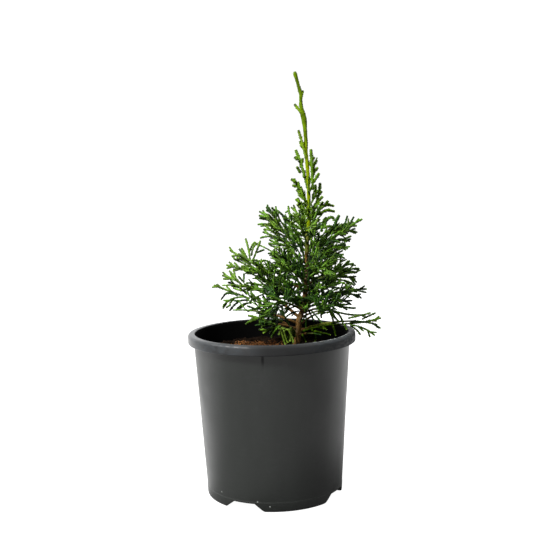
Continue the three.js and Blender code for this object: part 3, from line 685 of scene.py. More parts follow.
# Places inside it that are open from front to back, with their radius
OPEN_PLACES = [
    (251, 277, 4), (276, 230, 2), (294, 224, 2.2), (303.5, 224, 2), (305, 234, 1.8), (285, 215, 2),
    (312, 219, 1.8), (317, 218, 1.5), (255, 291, 2), (259, 299, 2), (272, 306, 2.2), (277, 311, 2.2),
    (282, 309, 1.8), (289, 311, 2.5), (303, 282, 1.8), (343, 292, 1.8), (312, 307, 2.5),
]


def inside(spot, edge):
    """True if a spot of the picture is within a closed edge."""
    x, y = spot
    odd = False
    for (x0, y0), (x1, y1) in zip(edge, [*edge[1:], edge[0]]):
        if (y0 > y) != (y1 > y) and x < lerp(x0, x1, (y - y0) / (y1 - y0)):
            odd = not odd
    return odd


def in_crown(point):
    """True where the general growth may show: within the crown's edge, and not in an open place."""
    spot = seen_at(point)
    if any(math.hypot(spot[0] - x, spot[1] - y) < radius for x, y, radius in OPEN_PLACES):
        return False
    return inside(spot, CROWN_EDGE)


def fan_tests(root, along, side, size, width):
    """Points in the middle and round the edge of a fan, and halfway between."""
    across = (side - along * side.dot(along)).normalized()
    length, half = FAN.length * size, FAN.half_width * size * width
    heart = root + along * (FAN.heart * length)
    edge = [root + along * length]
    for reach, out in FAN.edge:
        for hand in (1, -1):
            edge.append(root + along * (reach * length) + across * (hand * out * half))
    return [heart, *edge, *(point.lerp(heart, 0.5) for point in edge)]


class Growth:
    """Scaly shoots by colour, and the woody twigs under them, gathered spray by spray."""

    def __init__(self, shoot_radius):
        self.sprays = grown_sprays()
        self.space = Space(self.sprays)
        self.shoots = {colour: [] for colour in COLOURS}
        self.twigs = []
        self.radius = shoot_radius / MM
        self.comb = self.reach = UP
        self.end = NO_TIP

    def shoot(self, colour, start, middle, end, side, kind, width=1.0):
        """A shoot on a curve through start and end, with its last scales in the tip's colour."""
        length = max((end - start).length, 0.1)
        split = 1 - min(SHOOT.tip / length, 0.5)
        radii = (share * width * self.radius for share in THICKNESS[kind])
        line = (*start, *middle, *end, *side, *radii)
        self.shoots[colour].append((*line, 0.0, split))
        self.shoots[TIP_COLOURS[colour]].append((*line, split, 1.0))

    def stem(self, colour, points, radii):
        """A stem with scales, through points, with a radius at each."""
        for a, b, thick, thin in zip(points, points[1:], radii, radii[1:]):
            across = (b - a).cross(UP).normalized()
            self.shoots[colour].append((*a, *a.lerp(b, 0.5), *b, *across, thick, thin, 0.0, 1.0))

    def colour_at(self, point, roll):
        """Greens run from deep near the trunk to bright at the crown's edge, darker low and brighter high:
        painted shade inside and low in the crown, painted light at its edge and top.
        """
        if point.z > SPIRE_HEIGHT:
            return "spire"
        axis = trunk_at(max(point.z, TRUNK_FOOT))[0]
        share = (point.z - CROWN_LOW[0]) / (CROWN_HIGH[0] - CROWN_LOW[0])
        reach = lerp(CROWN_LOW[1], CROWN_HIGH[1], min(max(share, 0.0), 1.0))
        out = math.hypot(point.x - axis.x, point.y - axis.y) / reach
        out += swing(COLOUR_SWING, roll) + PAINTED_SHADE_BY_HEIGHT * (min(share, 1.0) - EVEN_SHARE)
        return "deep" if out < DEEP_SHARE else "mid" if out < MID_SHARE else "bright"

    def fan(self, colour, root, along, side, length, width, roll):
        """A spray of shoots: an axis, side shoots by turns left and right, and small shoots on those."""
        onward = along.slerp(self.comb, COMB.tip)
        along = along.slerp(self.comb, COMB.foot)
        past = (root + (along + onward) * (length / 2) - self.end).dot(self.reach) - COMB.past
        length -= max(past, 0)
        while not in_crown(root + (along + onward) * (length / 2)):
            length *= FAN.shrink
            if length < FAN.smallest * FAN.length:
                return
        middle = root + along * (length / 2)
        tip = middle + onward * (length / 2)
        across = (side - along * side.dot(along)).normalized()
        self.shoot(colour, root, middle, tip, across, "axis")
        count = max(2, rounded(length * (SHOOT.last - SHOOT.first) / SHOOT.spacing))
        hand = either_hand(roll)
        for k in range(count):
            place = (k + lerp(*SHOOT.place, next(roll))) / count
            share = lerp(SHOOT.first, SHOOT.last, place)
            reach = length * SHOOT.reach * (1 - share) ** SHOOT.fade * lerp(*SHOOT.vary, next(roll))
            tilt = swing(SHOOT.tilt, roll)
            angle = SHOOT.angle + swing(SHOOT.spread, roll)
            hand = -hand
            if reach < SHOOT.shortest:
                continue
            start = on_curve(root, middle, tip, share)
            way = along.lerp(onward, share).normalized()
            face = across.cross(way).normalized()
            out = (face.cross(way) * -hand + face * tilt).normalized()
            self.side_shoot(colour, start, way, out, reach, angle * lerp(width, 1, 0.5), face, roll)

    def side_shoot(self, colour, start, along, out, reach, angle, face, roll):
        """A shoot that leaves its axis wide and turns forwards, with small shoots of its own."""
        wide, close = (math.radians(angle + turn) for turn in (SHOOT.turn_in, -SHOOT.turn_in))
        middle = start + bent(along, out, wide) * (reach * 0.5)
        end = middle + bent(along, out, close) * (reach * 0.5)
        if not in_crown(end):
            return
        way = (end - start).normalized()
        across = way.cross(face).normalized()
        self.shoot(colour, start, middle, end, across, "side")
        if reach < SHOOT.branched:
            return
        count = max(1, rounded(reach / SMALL.spacing))
        angle = math.radians(SMALL.angle)
        hand = either_hand(roll)
        for k in range(count):
            place = (k + lerp(*SMALL.place, next(roll))) / count
            share = lerp(SMALL.first, SMALL.last, place)
            hand = -hand
            length = lerp(*SMALL.reach, next(roll)) * lerp(*SMALL.fade, share)
            foot = on_curve(start, middle, end, share)
            turned_way = (bent(way, across * hand, angle) + face * swing(SMALL.tilt, roll)).normalized()
            tip = foot + turned_way * length
            self.shoot(colour, foot, foot.lerp(tip, 0.5), tip, across, "small")

    def fitting_fan(self, rule, root, along, side, size, fine, slack=0.0):
        """The largest fan that fits here within the spray's own space, if any does."""
        if next(fine) < OPEN.get(rule["name"], 0):
            return
        for share in FAN.sizes:
            scale = share * size
            if scale <= FAN.smallest:
                return
            base = root - along * FAN.sunk
            side = side.lerp(side.cross(along).normalized(), rule["facing"])
            tests = fan_tests(base, along, side, scale, rule["width"])
            if self.space.holds(rule["name"], tests, FAN.thickness / 4, slack):
                length = FAN.length * scale
                colour = self.colour_at(base + along * length * FAN.colour_at, fine)
                self.fan(colour, base, along, side, length, rule["width"], fine)
                return

    def twig(self, rule, start, out, along, length, roll, fine):
        """One long fan for a twig with the fans on it, or nothing where the twig doesn't fit."""
        tip = start + out * (length - FAN.length * FAN.beyond_twig)
        if self.space.holds(rule["name"], [start.lerp(tip, rule["tested"]), tip], rule["radius"]):
            onward = (out + along * rule["bend"]).normalized()
            size = length / FAN.length * varied(rule["vary"] / 2, roll)
            self.fitting_fan(rule, start, onward, along, size, fine, FINE.slack)

    def twigs_along(self, rule, stem):
        """Twigs along a stem. One shorter than a fan is a fan that grows straight on the stem."""
        seed = rounded(rule["turn"] * STEM.seed_step + stem[0].z)
        roll, fine = dice(seed), dice(seed + 1)
        for k in range(rule["twigs"]):
            share = lerp(rule["first"], rule["last"], (k + 0.5) / rule["twigs"])
            start, along = on_stem(stem, share)
            turn = math.radians(rule["turn"] + rule["step"] * k)
            out = direction_from(along, turn, math.radians(rule["angle"]), rule["flat"])
            length = rule["spread"] * (1 - rule["taper"] * share)
            length *= varied(rule["vary"], roll)
            if length >= FAN.length:
                self.twig(rule, start, out, along, length, roll, fine)
            else:
                self.fitting_fan(rule, start, out, along, length / FAN.length, fine)

    def fine_fans(self, rule, stem):
        """Smaller fans between the twigs, in the same spiral."""
        fine = dice(rounded(rule["turn"] * STEM.seed_step) + 5)
        count = rounded((stem[-1] - stem[0]).length / FINE.apart)
        for k in range(count):
            share = FINE.last * (k + 0.5) / count
            start, along = on_stem(stem, share)
            turn = math.radians(rule["turn"] + FINE.turn + rule["step"] * k)
            angle = math.radians(FINE.angle * rule["angle"] / TWIG["angle"])
            out = direction_from(along, turn, angle, rule["flat"])
            size = rule["spread"] * (1 - rule["taper"] * share) / FAN.length
            size *= FINE.size * varied(FINE.vary, fine)
            self.fitting_fan(rule, start, out, along, size, fine, FINE.slack)

    def spray(self, spray):
        """The stem that grows on from a bough or the trunk, its tip, and its twigs."""
        begin = spray["bare"] + GAP / spray["length"] if spray["bare"] > 0 else 0
        rings = STEM.rings
        stem = spray_line(spray, begin, 1 - STEM.tip / spray["length"], rings)
        radii = [lerp(spray["thick"], STEM.end, k / rings) for k in range(rings + 1)]
        along = (stem[-1] - stem[-2]).normalized()
        self.reach = (stem[-1] - stem[0]).normalized()
        self.comb = (self.reach + UP * lerp(COMB.rise, FACING.rise, spray["facing"])).normalized()
        self.end = stem[-1] + along * STEM.tip
        size = min(SHOOT.end_fan, SHOOT.end_share * spray["length"])
        fine = dice(rounded(spray["turn"] * STEM.seed_step) + 2)
        tip_root = stem[-1] + along * (STEM.tip - size)
        colour = self.colour_at(stem[-1], fine)
        self.fan(colour, tip_root, along, along.cross(UP), size, 1, fine)
        if spray["bare"] > 0:
            self.twigs.append((stem[:3], radii[:3]))
            self.stem(colour, stem[2:], radii[2:])
        else:
            self.stem(colour, stem, radii)
        rule = {**TWIG, **spray}
        rule["angle"] += FACING.angle * spray["facing"]
        self.twigs_along(rule, stem)
        if 0 < spray["bare"] < FINE.short_bough:
            stem = spray_line(spray, FINE.from_foot, 1 - STEM.tip / spray["length"], rings)
        self.fine_fans(rule, stem)

    def trunk_fans(self):
        """Fans in a spiral on the trunk, away from where its bark shows in front."""
        fine = dice(SEEDS.trunk_fans)
        self.end = NO_TIP
        for k in range(TRUNK_FANS.count):
            height = lerp(TRUNK_FANS.low, TRUNK_FANS.high, (k + 0.5) / TRUNK_FANS.count)
            turn = math.radians(TRUNK_FANS.step * k)
            low, high = TRUNK_FANS.bare
            if low < height < high and math.sin(turn) < TRUNK_FANS.front:
                continue
            way = Vector((math.cos(turn), math.sin(turn), 0))
            out = bent(UP, way, math.radians(TRUNK_FANS.angle))
            self.comb = self.reach = (way + UP).normalized()
            start = trunk_at(height)[0]
            size = TRUNK_FANS.size * varied(TRUNK_FANS.vary, fine)
            self.fan(self.colour_at(start + out * size, fine), start, out, way.cross(UP), size, 1, fine)

    def shown(self):
        """The shoots that stand out of the crown."""
        for index, (usual, depth, lean, spread, width, rows) in enumerate(SHOWN.values()):
            roll = dice(SEEDS.shown + index)
            for row in rows:
                sides = row[-1] if len(row) % 2 else 0
                back = depth + swing(spread, roll)
                tilt = lean + swing(SHOWN_TILT, roll)
                spots = zip(row[::2], row[1::2])
                points = [placed_at(spot, back + tilt * k) for k, spot in enumerate(spots)]
                colour = usual
                if usual in COLOURS[:3]:
                    step = (next(roll) > 1 - SHOWN_STRAY) - (next(roll) < SHOWN_STRAY)
                    colour = COLOURS[min(max(COLOURS.index(usual) + step, 0), 2)]
                start, end = points[0], points[-1]
                middle = points[1] * 2 - (start + end) / 2 if len(points) > 2 else (start + end) / 2
                self.shown_shoot(colour, start, middle, end, width, sides, roll)

    def shown_shoot(self, colour, start, middle, end, width, sides, roll):
        """One of them, with its side shoots by turns left and right of it."""
        facing = (CAMERA_PLACE - start).normalized()
        across = (end - start).cross(facing).normalized()
        self.shoot(colour, start, middle, end, across, "shown", width)
        hand = either_hand(roll)
        for k in range(sides):
            share = lerp(SHOWN_SIDE.first, SHOWN_SIDE.last, (k + next(roll)) / sides)
            foot = on_curve(start, middle, end, share)
            along = (middle.lerp(end, share) - start.lerp(middle, share)).normalized()
            out = (across * hand + facing * swing(SHOWN_SIDE.tilt, roll)).normalized()
            hand = -hand
            angle = math.radians(SHOWN_SIDE.angle * varied(SHOWN_SIDE.vary, roll))
            reach = lerp(*SHOWN_SIDE.reach, share) * varied(SHOWN_SIDE.vary, roll)
            tip = foot + bent(along, out, angle) * reach
            self.shoot(colour, foot, foot.lerp(tip, 0.5), tip, across, "shown_side", width)


# Meshes from arrays

def mesh_of(name, points, quads):
    """A smooth mesh of four-sided faces, from points in millimetres."""
    mesh = bpy.data.meshes.new(name)
    mesh.vertices.add(len(points))
    mesh.vertices.foreach_set("co", (points * MM).astype(np.float32).ravel())
    mesh.loops.add(quads.size)
    mesh.loops.foreach_set("vertex_index", quads.astype(np.int32).ravel())
    mesh.polygons.add(len(quads))
    mesh.polygons.foreach_set("loop_start", np.arange(0, quads.size, 4, dtype=np.int32))
    mesh.polygons.foreach_set("use_smooth", np.ones(len(quads), dtype=bool))
    mesh.update(calc_edges=True)
    mesh.validate()
    return mesh


# A whorl of scales: how far along it they stand out, their radius there and at the waist as shares of
# the shoot's, and how much wider and further on the two scales with free tips are. The last whorl closes.
WHORL = Values(
    out=0.84, closing_out=0.72, radius=1.1, closing_radius=1.04, waist=0.7, end=0.5,
    tip=(1.22, 0.24), flank=(0.92, -0.1),
)


def unit(vectors):
    return vectors / np.linalg.norm(vectors, axis=1, keepdims=True)


def scaly_mesh(name, rows, pitch):
    """Four-sided cords, each stepped out at every whorl, with scale tips by turns on two corners."""
    rows = np.array(rows)
    start, middle, end, side = (rows[:, k:k + 3] for k in (0, 3, 6, 9))
    thick, thin, first, last = rows[:, 12:].T
    chord = np.linalg.norm(end - start, axis=1)
    bow = np.linalg.norm(middle - start, axis=1) + np.linalg.norm(end - middle, axis=1)
    length = (2 * chord + bow) / 3 * (last - first)
    whorls = np.maximum(1, np.rint(length / pitch)).astype(int)
    rings = 2 * whorls + 1
    row = np.repeat(np.arange(len(rows)), rings)
    offset = np.cumsum(rings) - rings
    ring = np.arange(rings.sum()) - offset[row]
    whorl, flared = ring // 2, ring % 2 == 1
    ending, closing = ring == rings[row] - 1, ring == rings[row] - 2
    out_at = np.where(closing, WHORL.closing_out, WHORL.out)
    place = np.where(flared, whorl + out_at, whorl) / whorls[row]
    t = (first[row] + (last - first)[row] * place)[:, None]
    a, b, c = start[row], middle[row], end[row]
    centre = (1 - t) ** 2 * a + 2 * t * (1 - t) * b + t * t * c
    tangent = unit(2 * (1 - t) * (b - a) + 2 * t * (c - b))
    across = unit(side[row] - tangent * (side[row] * tangent).sum(1, keepdims=True))
    other = np.cross(tangent, across)
    radius = lerp(thick[row], thin[row], t[:, 0])
    waist = np.where(flared, WHORL.radius, WHORL.waist)
    radius *= np.where(ending, WHORL.end, np.where(closing, WHORL.closing_radius, waist))
    corners = []
    for j in range(4):
        turn = math.pi / 2 * j
        tipped = flared & ~closing & ((whorl + j) % 2 == 0)
        wide, far = (np.where(tipped, tip, flank) for tip, flank in zip(WHORL.tip, WHORL.flank))
        out = radius * np.where(flared, wide, 1.0)
        lift = pitch * np.where(flared, far, 0.0)
        away = across * math.cos(turn) + other * math.sin(turn)
        corners.append(centre + away * out[:, None] + tangent * lift[:, None])
    points = np.stack(corners, axis=1).reshape(-1, 3)
    low = 4 * np.flatnonzero(~ending)
    turns = [(j, (j + 1) % 4) for j in range(4)]
    sides = [np.stack([low + j, low + n, low + 4 + n, low + 4 + j], 1) for j, n in turns]
    foot, top = 4 * offset, 4 * (offset + rings - 1)
    caps = [np.stack([foot + k for k in (3, 2, 1, 0)], 1), np.stack([top + k for k in range(4)], 1)]
    return mesh_of(name, points, np.concatenate(sides + caps))


def placed_copies(name, shape, places):
    """One mesh of many copies of a small shape, each put in place by its own 4 by 4 matrix."""
    points, faces = shape
    places = np.array(places)
    spread = np.einsum("nij,pj->npi", places[:, :3, :3], points) + places[:, None, :3, 3]
    steps = np.arange(len(places))[:, None, None] * len(points)
    mesh = bpy.data.meshes.new(name)
    all_faces = (faces[None] + steps).reshape(-1, faces.shape[1])
    mesh.from_pydata((spread * MM).reshape(-1, 3).tolist(), [], all_faces.tolist())
    mesh.update()
    return mesh


# Shapes from operators

def mesh_from(name, bm, smooth=True, sharp=None):
    """A mesh from a bmesh whose doubles are merged and whose faces point outwards."""
    bmesh.ops.remove_doubles(bm, verts=bm.verts, dist=1e-7)
    bmesh.ops.recalc_face_normals(bm, faces=bm.faces)
    for face in bm.faces:
        face.smooth = smooth
    mesh = bpy.data.meshes.new(name)
    bm.to_mesh(mesh)
    bm.free()
    if sharp:
        mesh.set_sharp_from_angle(angle=math.radians(sharp))
    return mesh


def cleaned(name, mesh, sharp=None):
    """The mesh made again with its doubles merged, in place of the old one."""
    bm = bmesh.new()
    bm.from_mesh(mesh)
    bpy.data.meshes.remove(mesh)
    return mesh_from(name, bm, sharp=sharp)


def small_shape(bm):
    """The points and faces of a small shape that is placed many times."""
    bm.verts.index_update()
    shape = np.array([v.co for v in bm.verts]), np.array([[v.index for v in f.verts] for f in bm.faces])
    bm.free()
    return shape


def softened(profile, radius, steps=3):
    """A profile whose inner corners are rounded, as far as the lengths beside them let them be."""
    points = [Vector(p) for p in profile]
    rounded_off = [points[0]]
    for before, corner, after in zip(points, points[1:], points[2:]):
        near = corner.lerp(before, min(0.45, radius / (before - corner).length))
        far = corner.lerp(after, min(0.45, radius / (after - corner).length))
        for k in range(steps + 1):
            t = k / steps
            rounded_off.append(near.lerp(corner, t).lerp(corner.lerp(far, t), t))
    return [*rounded_off, points[-1]]


def spun(name, profile, steps):
    """A closed solid of revolution from points given as radius and height, in millimetres."""
    bm = bmesh.new()
    verts = [bm.verts.new((point[0] * MM, 0.0, point[1] * MM)) for point in profile]
    edges = [bm.edges.new(pair) for pair in zip(verts, verts[1:])]
    turn = {"axis": (0, 0, 1), "cent": (0, 0, 0), "angle": 2 * math.pi, "steps": steps}
    bmesh.ops.spin(bm, geom=[*verts, *edges], use_merge=True, **turn)
    return mesh_from(name, bm)


def pocket_turns():
    """How each pocket is turned round the pot's axis."""
    return [Matrix.Rotation(math.radians(POCKET_TURN + 360 / POCKETS * k), 4, "Z") for k in range(POCKETS)]


def pocket_blocks(name, margin):
    """The tapered blocks that the pockets in the pot's foot are cut with."""
    bm = bmesh.new()
    slope = (POCKET_FOOT - POCKET_ROOF) / POCKET_HEIGHT
    sideways = margin * math.hypot(1, slope)
    under, over = -1 - margin, POCKET_HEIGHT + margin
    foot = POCKET_FOOT - slope * under + sideways
    roof = POCKET_ROOF - slope * margin + sideways
    inner = FOOT_RADIUS - POCKET_DEPTH - margin
    for turn in (whole.to_3x3() for whole in pocket_turns()):
        corners = [(-foot, under), (foot, under), (roof, over), (-roof, over)]
        verts = [bm.verts.new(turn @ Vector((x, -inner, z)) * MM) for x, z in corners]
        grown = bmesh.ops.extrude_face_region(bm, geom=[bm.faces.new(verts)])
        moved = [v for v in grown["geom"] if isinstance(v, bmesh.types.BMVert)]
        bmesh.ops.translate(bm, verts=moved, vec=turn @ Vector((0, -(POT_HIGH.x / MM - inner) * MM, 0)))
    return mesh_from(name, bm, smooth=False)


def drain_rods(name):
    """The rods that the drain holes in the pockets' roofs are cut with."""
    bm = bmesh.new()
    inset = FOOT_RADIUS - DRAIN_INSET
    rod = {"radius1": DRAIN_RADIUS * MM, "radius2": DRAIN_RADIUS * MM, "depth": 4 * WALL * MM, "segments": 32}
    for turn in pocket_turns():
        place = turn @ Matrix.Translation((0, -inset * MM, (POCKET_HEIGHT + WALL) * MM))
        bmesh.ops.create_cone(bm, cap_ends=True, matrix=place, **rod)
    return mesh_from(name, bm)


def evaluated_mesh(body):
    """The mesh of an object with its modifiers applied."""
    return bpy.data.meshes.new_from_object(body.evaluated_get(bpy.context.evaluated_depsgraph_get()))


def cut(mesh, cutters):
    """The mesh less each of the cutters, which are used up."""
    body = bpy.data.objects.new(mesh.name + "_body", mesh)
    tools = [bpy.data.objects.new(cutter.name, cutter) for cutter in cutters]
    for tool in [body, *tools]:
        bpy.context.scene.collection.objects.link(tool)
    for tool in tools:
        boolean = body.modifiers.new("cut", "BOOLEAN")
        boolean.operation = "DIFFERENCE"
        boolean.solver = "MANIFOLD"
        boolean.object = tool
    result = evaluated_mesh(body)
    for tool in [body, *tools]:
        data = tool.data
        bpy.data.objects.remove(tool)
        bpy.data.meshes.remove(data)
    return result


def limb_mesh(name, limbs, sides, voxel=0.0):
    """Closed round limbs as one mesh, each from its points and radii in millimetres."""
    curve = bpy.data.curves.new(name, "CURVE")
    curve.dimensions = "3D"
    curve.bevel_depth = MM
    curve.bevel_resolution = sides // 2 - 2
    curve.use_fill_caps = True
    for points, radii in limbs:
        spline = curve.splines.new("POLY")
        spline.points.add(len(points) - 1)
        for spot, point, radius in zip(spline.points, points, radii):
            spot.co = (*(point * MM), 1.0)
            spot.radius = radius
    drawn = bpy.data.objects.new(name, curve)
    bpy.context.scene.collection.objects.link(drawn)
    if voxel:
        mesher = drawn.modifiers.new("skin", "REMESH")
        mesher.mode = "VOXEL"
        mesher.voxel_size = voxel * MM
    mesh = evaluated_mesh(drawn)
    bpy.data.objects.remove(drawn)
    bpy.data.curves.remove(curve)
    return cleaned(name, mesh)


def displaced(mesh, move):
    """Moves each point along its normal by as many millimetres as move gives for it."""
    normals = [v.normal.copy() for v in mesh.vertices]
    shifts = [n * (move(v.co / MM, n) * MM) for v, n in zip(mesh.vertices, normals)]
    for vertex, shift in zip(mesh.vertices, shifts):
        vertex.co += shift
    mesh.update()
    return mesh


def finished(mesh, slot, materials, *nodes):
    """Puts a piece in the scene, riding on the one body, for the nodes that it stands for."""
    piece = bpy.data.objects.new(mesh.name, mesh)
    bpy.context.scene.collection.objects.link(piece)
    for material in materials:
        mesh.materials.append(material)
    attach(piece, "root")
    if nodes:
        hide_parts(*nodes)
    return piece


# Node groups and materials

def node_group(name, inputs, outputs):
    """An empty group, with the sockets that its inputs and outputs give inside it."""
    group = bpy.data.node_groups.new(name, "ShaderNodeTree")
    for label, kind, default in inputs:
        socket = group.interface.new_socket(label, in_out="INPUT", socket_type="NodeSocket" + kind)
        socket.default_value = default
    for label, kind in outputs:
        group.interface.new_socket(label, in_out="OUTPUT", socket_type="NodeSocket" + kind)
    return group, group.nodes.new("NodeGroupInput").outputs, group.nodes.new("NodeGroupOutput").inputs


def feed(tree, socket, value):
    """Links a socket into an input, or sets the input to a plain value."""
    if isinstance(value, bpy.types.NodeSocket):
        tree.links.new(value, socket)
    else:
        socket.default_value = value


def add_node(tree, kind, inputs=None, **settings):
    """A node with its settings and inputs. Each input is a plain value or the socket that feeds it."""
    node = tree.nodes.new("ShaderNode" + kind)
    for key, value in settings.items():
        setattr(node, key, value)
    for key, value in (inputs or {}).items():
        feed(tree, node.inputs[key], value)
    return node


def object_place(tree):
    return add_node(tree, "TexCoord").outputs["Object"]


def axes_of(tree, place):
    return add_node(tree, "SeparateXYZ", {"Vector": place}).outputs


def noise_node(tree, place, scale, detail, stretch=None, rough=0.55):
    """A noise on a place, stretched along its axes where that is given. Its factor comes back."""
    if stretch:
        place = add_node(tree, "Mapping", {"Vector": place, "Scale": stretch}).outputs["Vector"]
    inputs = {"Vector": place, "Scale": scale, "Detail": detail, "Roughness": rough}
    return add_node(tree, "TexNoise", inputs).outputs["Fac"]


def ramp(tree, value, low, high):
    """A value eased from 0 at low to 1 at high."""
    inputs = {"Value": value, "From Min": low, "From Max": high}
    return add_node(tree, "MapRange", inputs, interpolation_type="SMOOTHSTEP").outputs["Result"]


def ramp_mm(tree, value, low, high):
    return ramp(tree, value, low * MM, high * MM)


def mapped(tree, value, low, high, start=0.0):
    """A value led evenly from low, where it is start, to high, where it is 1."""
    inputs = {"Value": value, "From Min": start, "To Min": low, "To Max": high}
    return add_node(tree, "MapRange", inputs).outputs["Result"]


def worked_out(tree, operation, *operands):
    """A number worked out from others, each plain or a socket."""
    return add_node(tree, "Math", dict(enumerate(operands)), operation=operation).outputs[0]


def product(tree, *factors):
    return functools.reduce(lambda a, b: worked_out(tree, "MULTIPLY", a, b), factors)


def near(tree, value, middle, reach, edge):
    """1 where a value is within reach of its middle, in millimetres, down to 0 beyond the edge."""
    away = worked_out(tree, "ABSOLUTE", worked_out(tree, "SUBTRACT", value, middle * MM))
    return ramp_mm(tree, away, reach + edge, reach)


def distance(tree, place, spot):
    return add_node(tree, "VectorMath", {0: place, 1: spot}, operation="DISTANCE").outputs["Value"]


def blended(tree, factor, first, second):
    """Two colours mixed by a factor. Each is a socket or a plain colour."""
    return add_node(tree, "Mix", {0: factor, 6: first, 7: second}, data_type="RGBA").outputs[2]


def tone_drift(name):
    """Colour that drifts a little from place to place, on a broad scale and a fine one."""
    inputs = [
        ("Color", "Color", (0.5, 0.5, 0.5, 1)),
        ("Dark", "Color", (0.1, 0.1, 0.1, 1)),
        ("Broad Scale", "Float", 60.0),
        ("Fine Scale", "Float", 900.0),
    ]
    group, given, shown = node_group(name, inputs, [("Color", "Color"), ("Fine", "Float")])
    place = object_place(group)
    broad = noise_node(group, place, given["Broad Scale"], 2, rough=0.5)
    fine = noise_node(group, place, given["Fine Scale"], 3, rough=0.5)
    first = blended(group, ramp(group, broad, 0.62, 0.36), given["Color"], given["Dark"])
    half = blended(group, 0.5, first, given["Dark"])
    feed(group, shown["Color"], blended(group, ramp(group, fine, 0.58, 0.34), first, half))
    feed(group, shown["Fine"], fine)
    return group


def handled_plastic(name):
    """Masks for plastic that has been handled: smudges that run round, dull patches and streaks down it."""
    inputs = [("Smudges", "Float", 0.5), ("Streak Scale", "Float", 90.0)]
    outputs = [("Smudges", "Float"), ("Patches", "Float"), ("Streaks", "Float")]
    group, given, shown = node_group(name, inputs, outputs)
    place = object_place(group)
    fine = ramp(group, noise_node(group, place, 330, 4, (0.5, 0.5, 1.6)), 0.46, 0.75)
    broad = ramp(group, noise_node(group, place, 50, 3), 0.4, 0.7)
    feed(group, shown["Smudges"], product(group, fine, broad, given["Smudges"]))
    feed(group, shown["Patches"], ramp(group, noise_node(group, place, 21, 2), 0.35, 0.68))
    feed(group, shown["Streaks"], noise_node(group, place, given["Streak Scale"], 3, (1, 1, 0.05), 0.5))
    return group


def placed_group(tree, build, **inputs):
    """The outputs of a group that is placed in a tree. The group is built the first time it is asked for."""
    name = build.__name__
    group = bpy.data.node_groups.get(name) or build(name)
    inputs = {label.replace("_", " "): value for label, value in inputs.items()}
    return add_node(tree, "Group", inputs, node_tree=group).outputs


def material(name, roughness, gloss=0.5):
    """A material, its nodes and its shader's inputs, where plain values are set on the sockets themselves."""
    made = bpy.data.materials.new(name)
    made.use_nodes = True
    shader = made.node_tree.nodes["Principled BSDF"].inputs
    shader["Roughness"].default_value = roughness
    shader["Specular IOR Level"].default_value = gloss
    return made, made.node_tree, shader


def bump(tree, shader, height, strength, distance):
    inputs = {"Height": height, "Strength": strength, "Distance": distance}
    feed(tree, shader["Normal"], add_node(tree, "Bump", inputs).outputs["Normal"])


# Roughness, scales of the broad and the fine drift, the relief's depth in metres, and gloss
FINISHES = {
    "soil_fines": (0.9, 120, 1400, 0.0006, 0.02),
    "crumbs": (0.85, 260, 2200, 0.0003, 0.02),
    "coir": (0.8, 300, 2000, 0.0002, 0.1),
    "cut_wood": (0.7, 500, 2600, 0.0002, 0.5),
    "young_bark": (0.7, 110, 1300, 0.0003, 0.1),
}


def drifting_material(finish, colour, dark, suffix=""):
    """A material with a drifting colour and a fine relief."""
    roughness, broad, fine, relief, gloss = FINISHES[finish]
    made, tree, shader = material(finish + suffix, roughness, gloss)
    tones = placed_group(tree, tone_drift, Color=colour, Dark=dark, Broad_Scale=broad, Fine_Scale=fine)
    feed(tree, shader["Base Color"], tones["Color"])
    bump(tree, shader, tones["Fine"], 0.5, relief)
    return made


def tone(colour, share=1.0):
    """A colour with its alpha, darker or lighter by a share."""
    return (*(part * share for part in colour), 1.0)


# Settings that a user would change

def colour_property(name, description, default):
    return FloatVectorProperty(
        name=name, description=description, default=default, size=3, subtype="COLOR", min=0, max=1
    )


def length_property(name, description, default, low, high):
    return FloatProperty(
        name=name, description=description, default=default, min=low, max=high, unit="LENGTH", precision=4
    )


def amount_property(name, description, default, high, low=0, **kind):
    return FloatProperty(name=name, description=description, default=default, min=low, max=high, **kind)


def count_property(name, description, default, high):
    return IntProperty(name=name, description=description, default=default, min=0, max=high)


class PotSettings(bpy.types.PropertyGroup):
    """The nursery pot."""

    height: length_property("Height", "From the floor to the top of the rim", POT_HIGH.z, 0.05, 0.4)
    rim_radius: length_property("Rim radius", "Radius outside the rim", POT_HIGH.x, 0.03, 0.2)
    colour: colour_property("Plastic", "Black of the moulded plastic", (0.0052, 0.0065, 0.0052))
    rim_colour: colour_property("Rim", "Bluish black of the rim's outside", (0.0038, 0.0052, 0.0063))
    scuff_colour: colour_property("Scuffs", "Grey where the plastic is scuffed", (0.028, 0.03, 0.032))
    # The inside's near black is painted shade, for the shade within the pot
    inside: colour_property("Inside", "Plastic inside the pot, dull and dark", (0.0006, 0.0006, 0.0006))
    smudges: amount_property("Smudges", "How much the smudges show", 0.15, 1, subtype="FACTOR")


class SoilSettings(bpy.types.PropertyGroup):
    """The potting mix."""

    chips: count_property("Crumbs", "Number of bark crumbs on the soil", 4600, 9000)
    fibres: count_property("Fibres", "Number of coir fibres on the soil", 150, 2000)
    chip_size: length_property("Crumb size", "Length of a middling crumb", 0.0026, 0.0005, 0.01)
    # Outside the lit patch these dark crumbs lie alone, as painted shade
    dark: colour_property("Dark crumbs", "Damp peat and bark", (0.0065, 0.0036, 0.002))
    red: colour_property("Red crumbs", "Fresh bark", (0.07, 0.026, 0.0085))
    tan: colour_property("Tan crumbs", "Wood and coir", (0.17, 0.07, 0.02))


class WoodSettings(bpy.types.PropertyGroup):
    """Trunk, boughs and twigs."""

    bark: colour_property("Bark", "Old brown bark", (0.115, 0.068, 0.022))
    young: colour_property("Young bark", "Olive bark of the twigs", (0.06, 0.08, 0.012))
    cut: colour_property("Cut wood", "End of the cut-off stub", (0.34, 0.2, 0.085))
    relief: length_property("Bark relief", "Depth of the flakes", 0.00028, 0.0, 0.001)


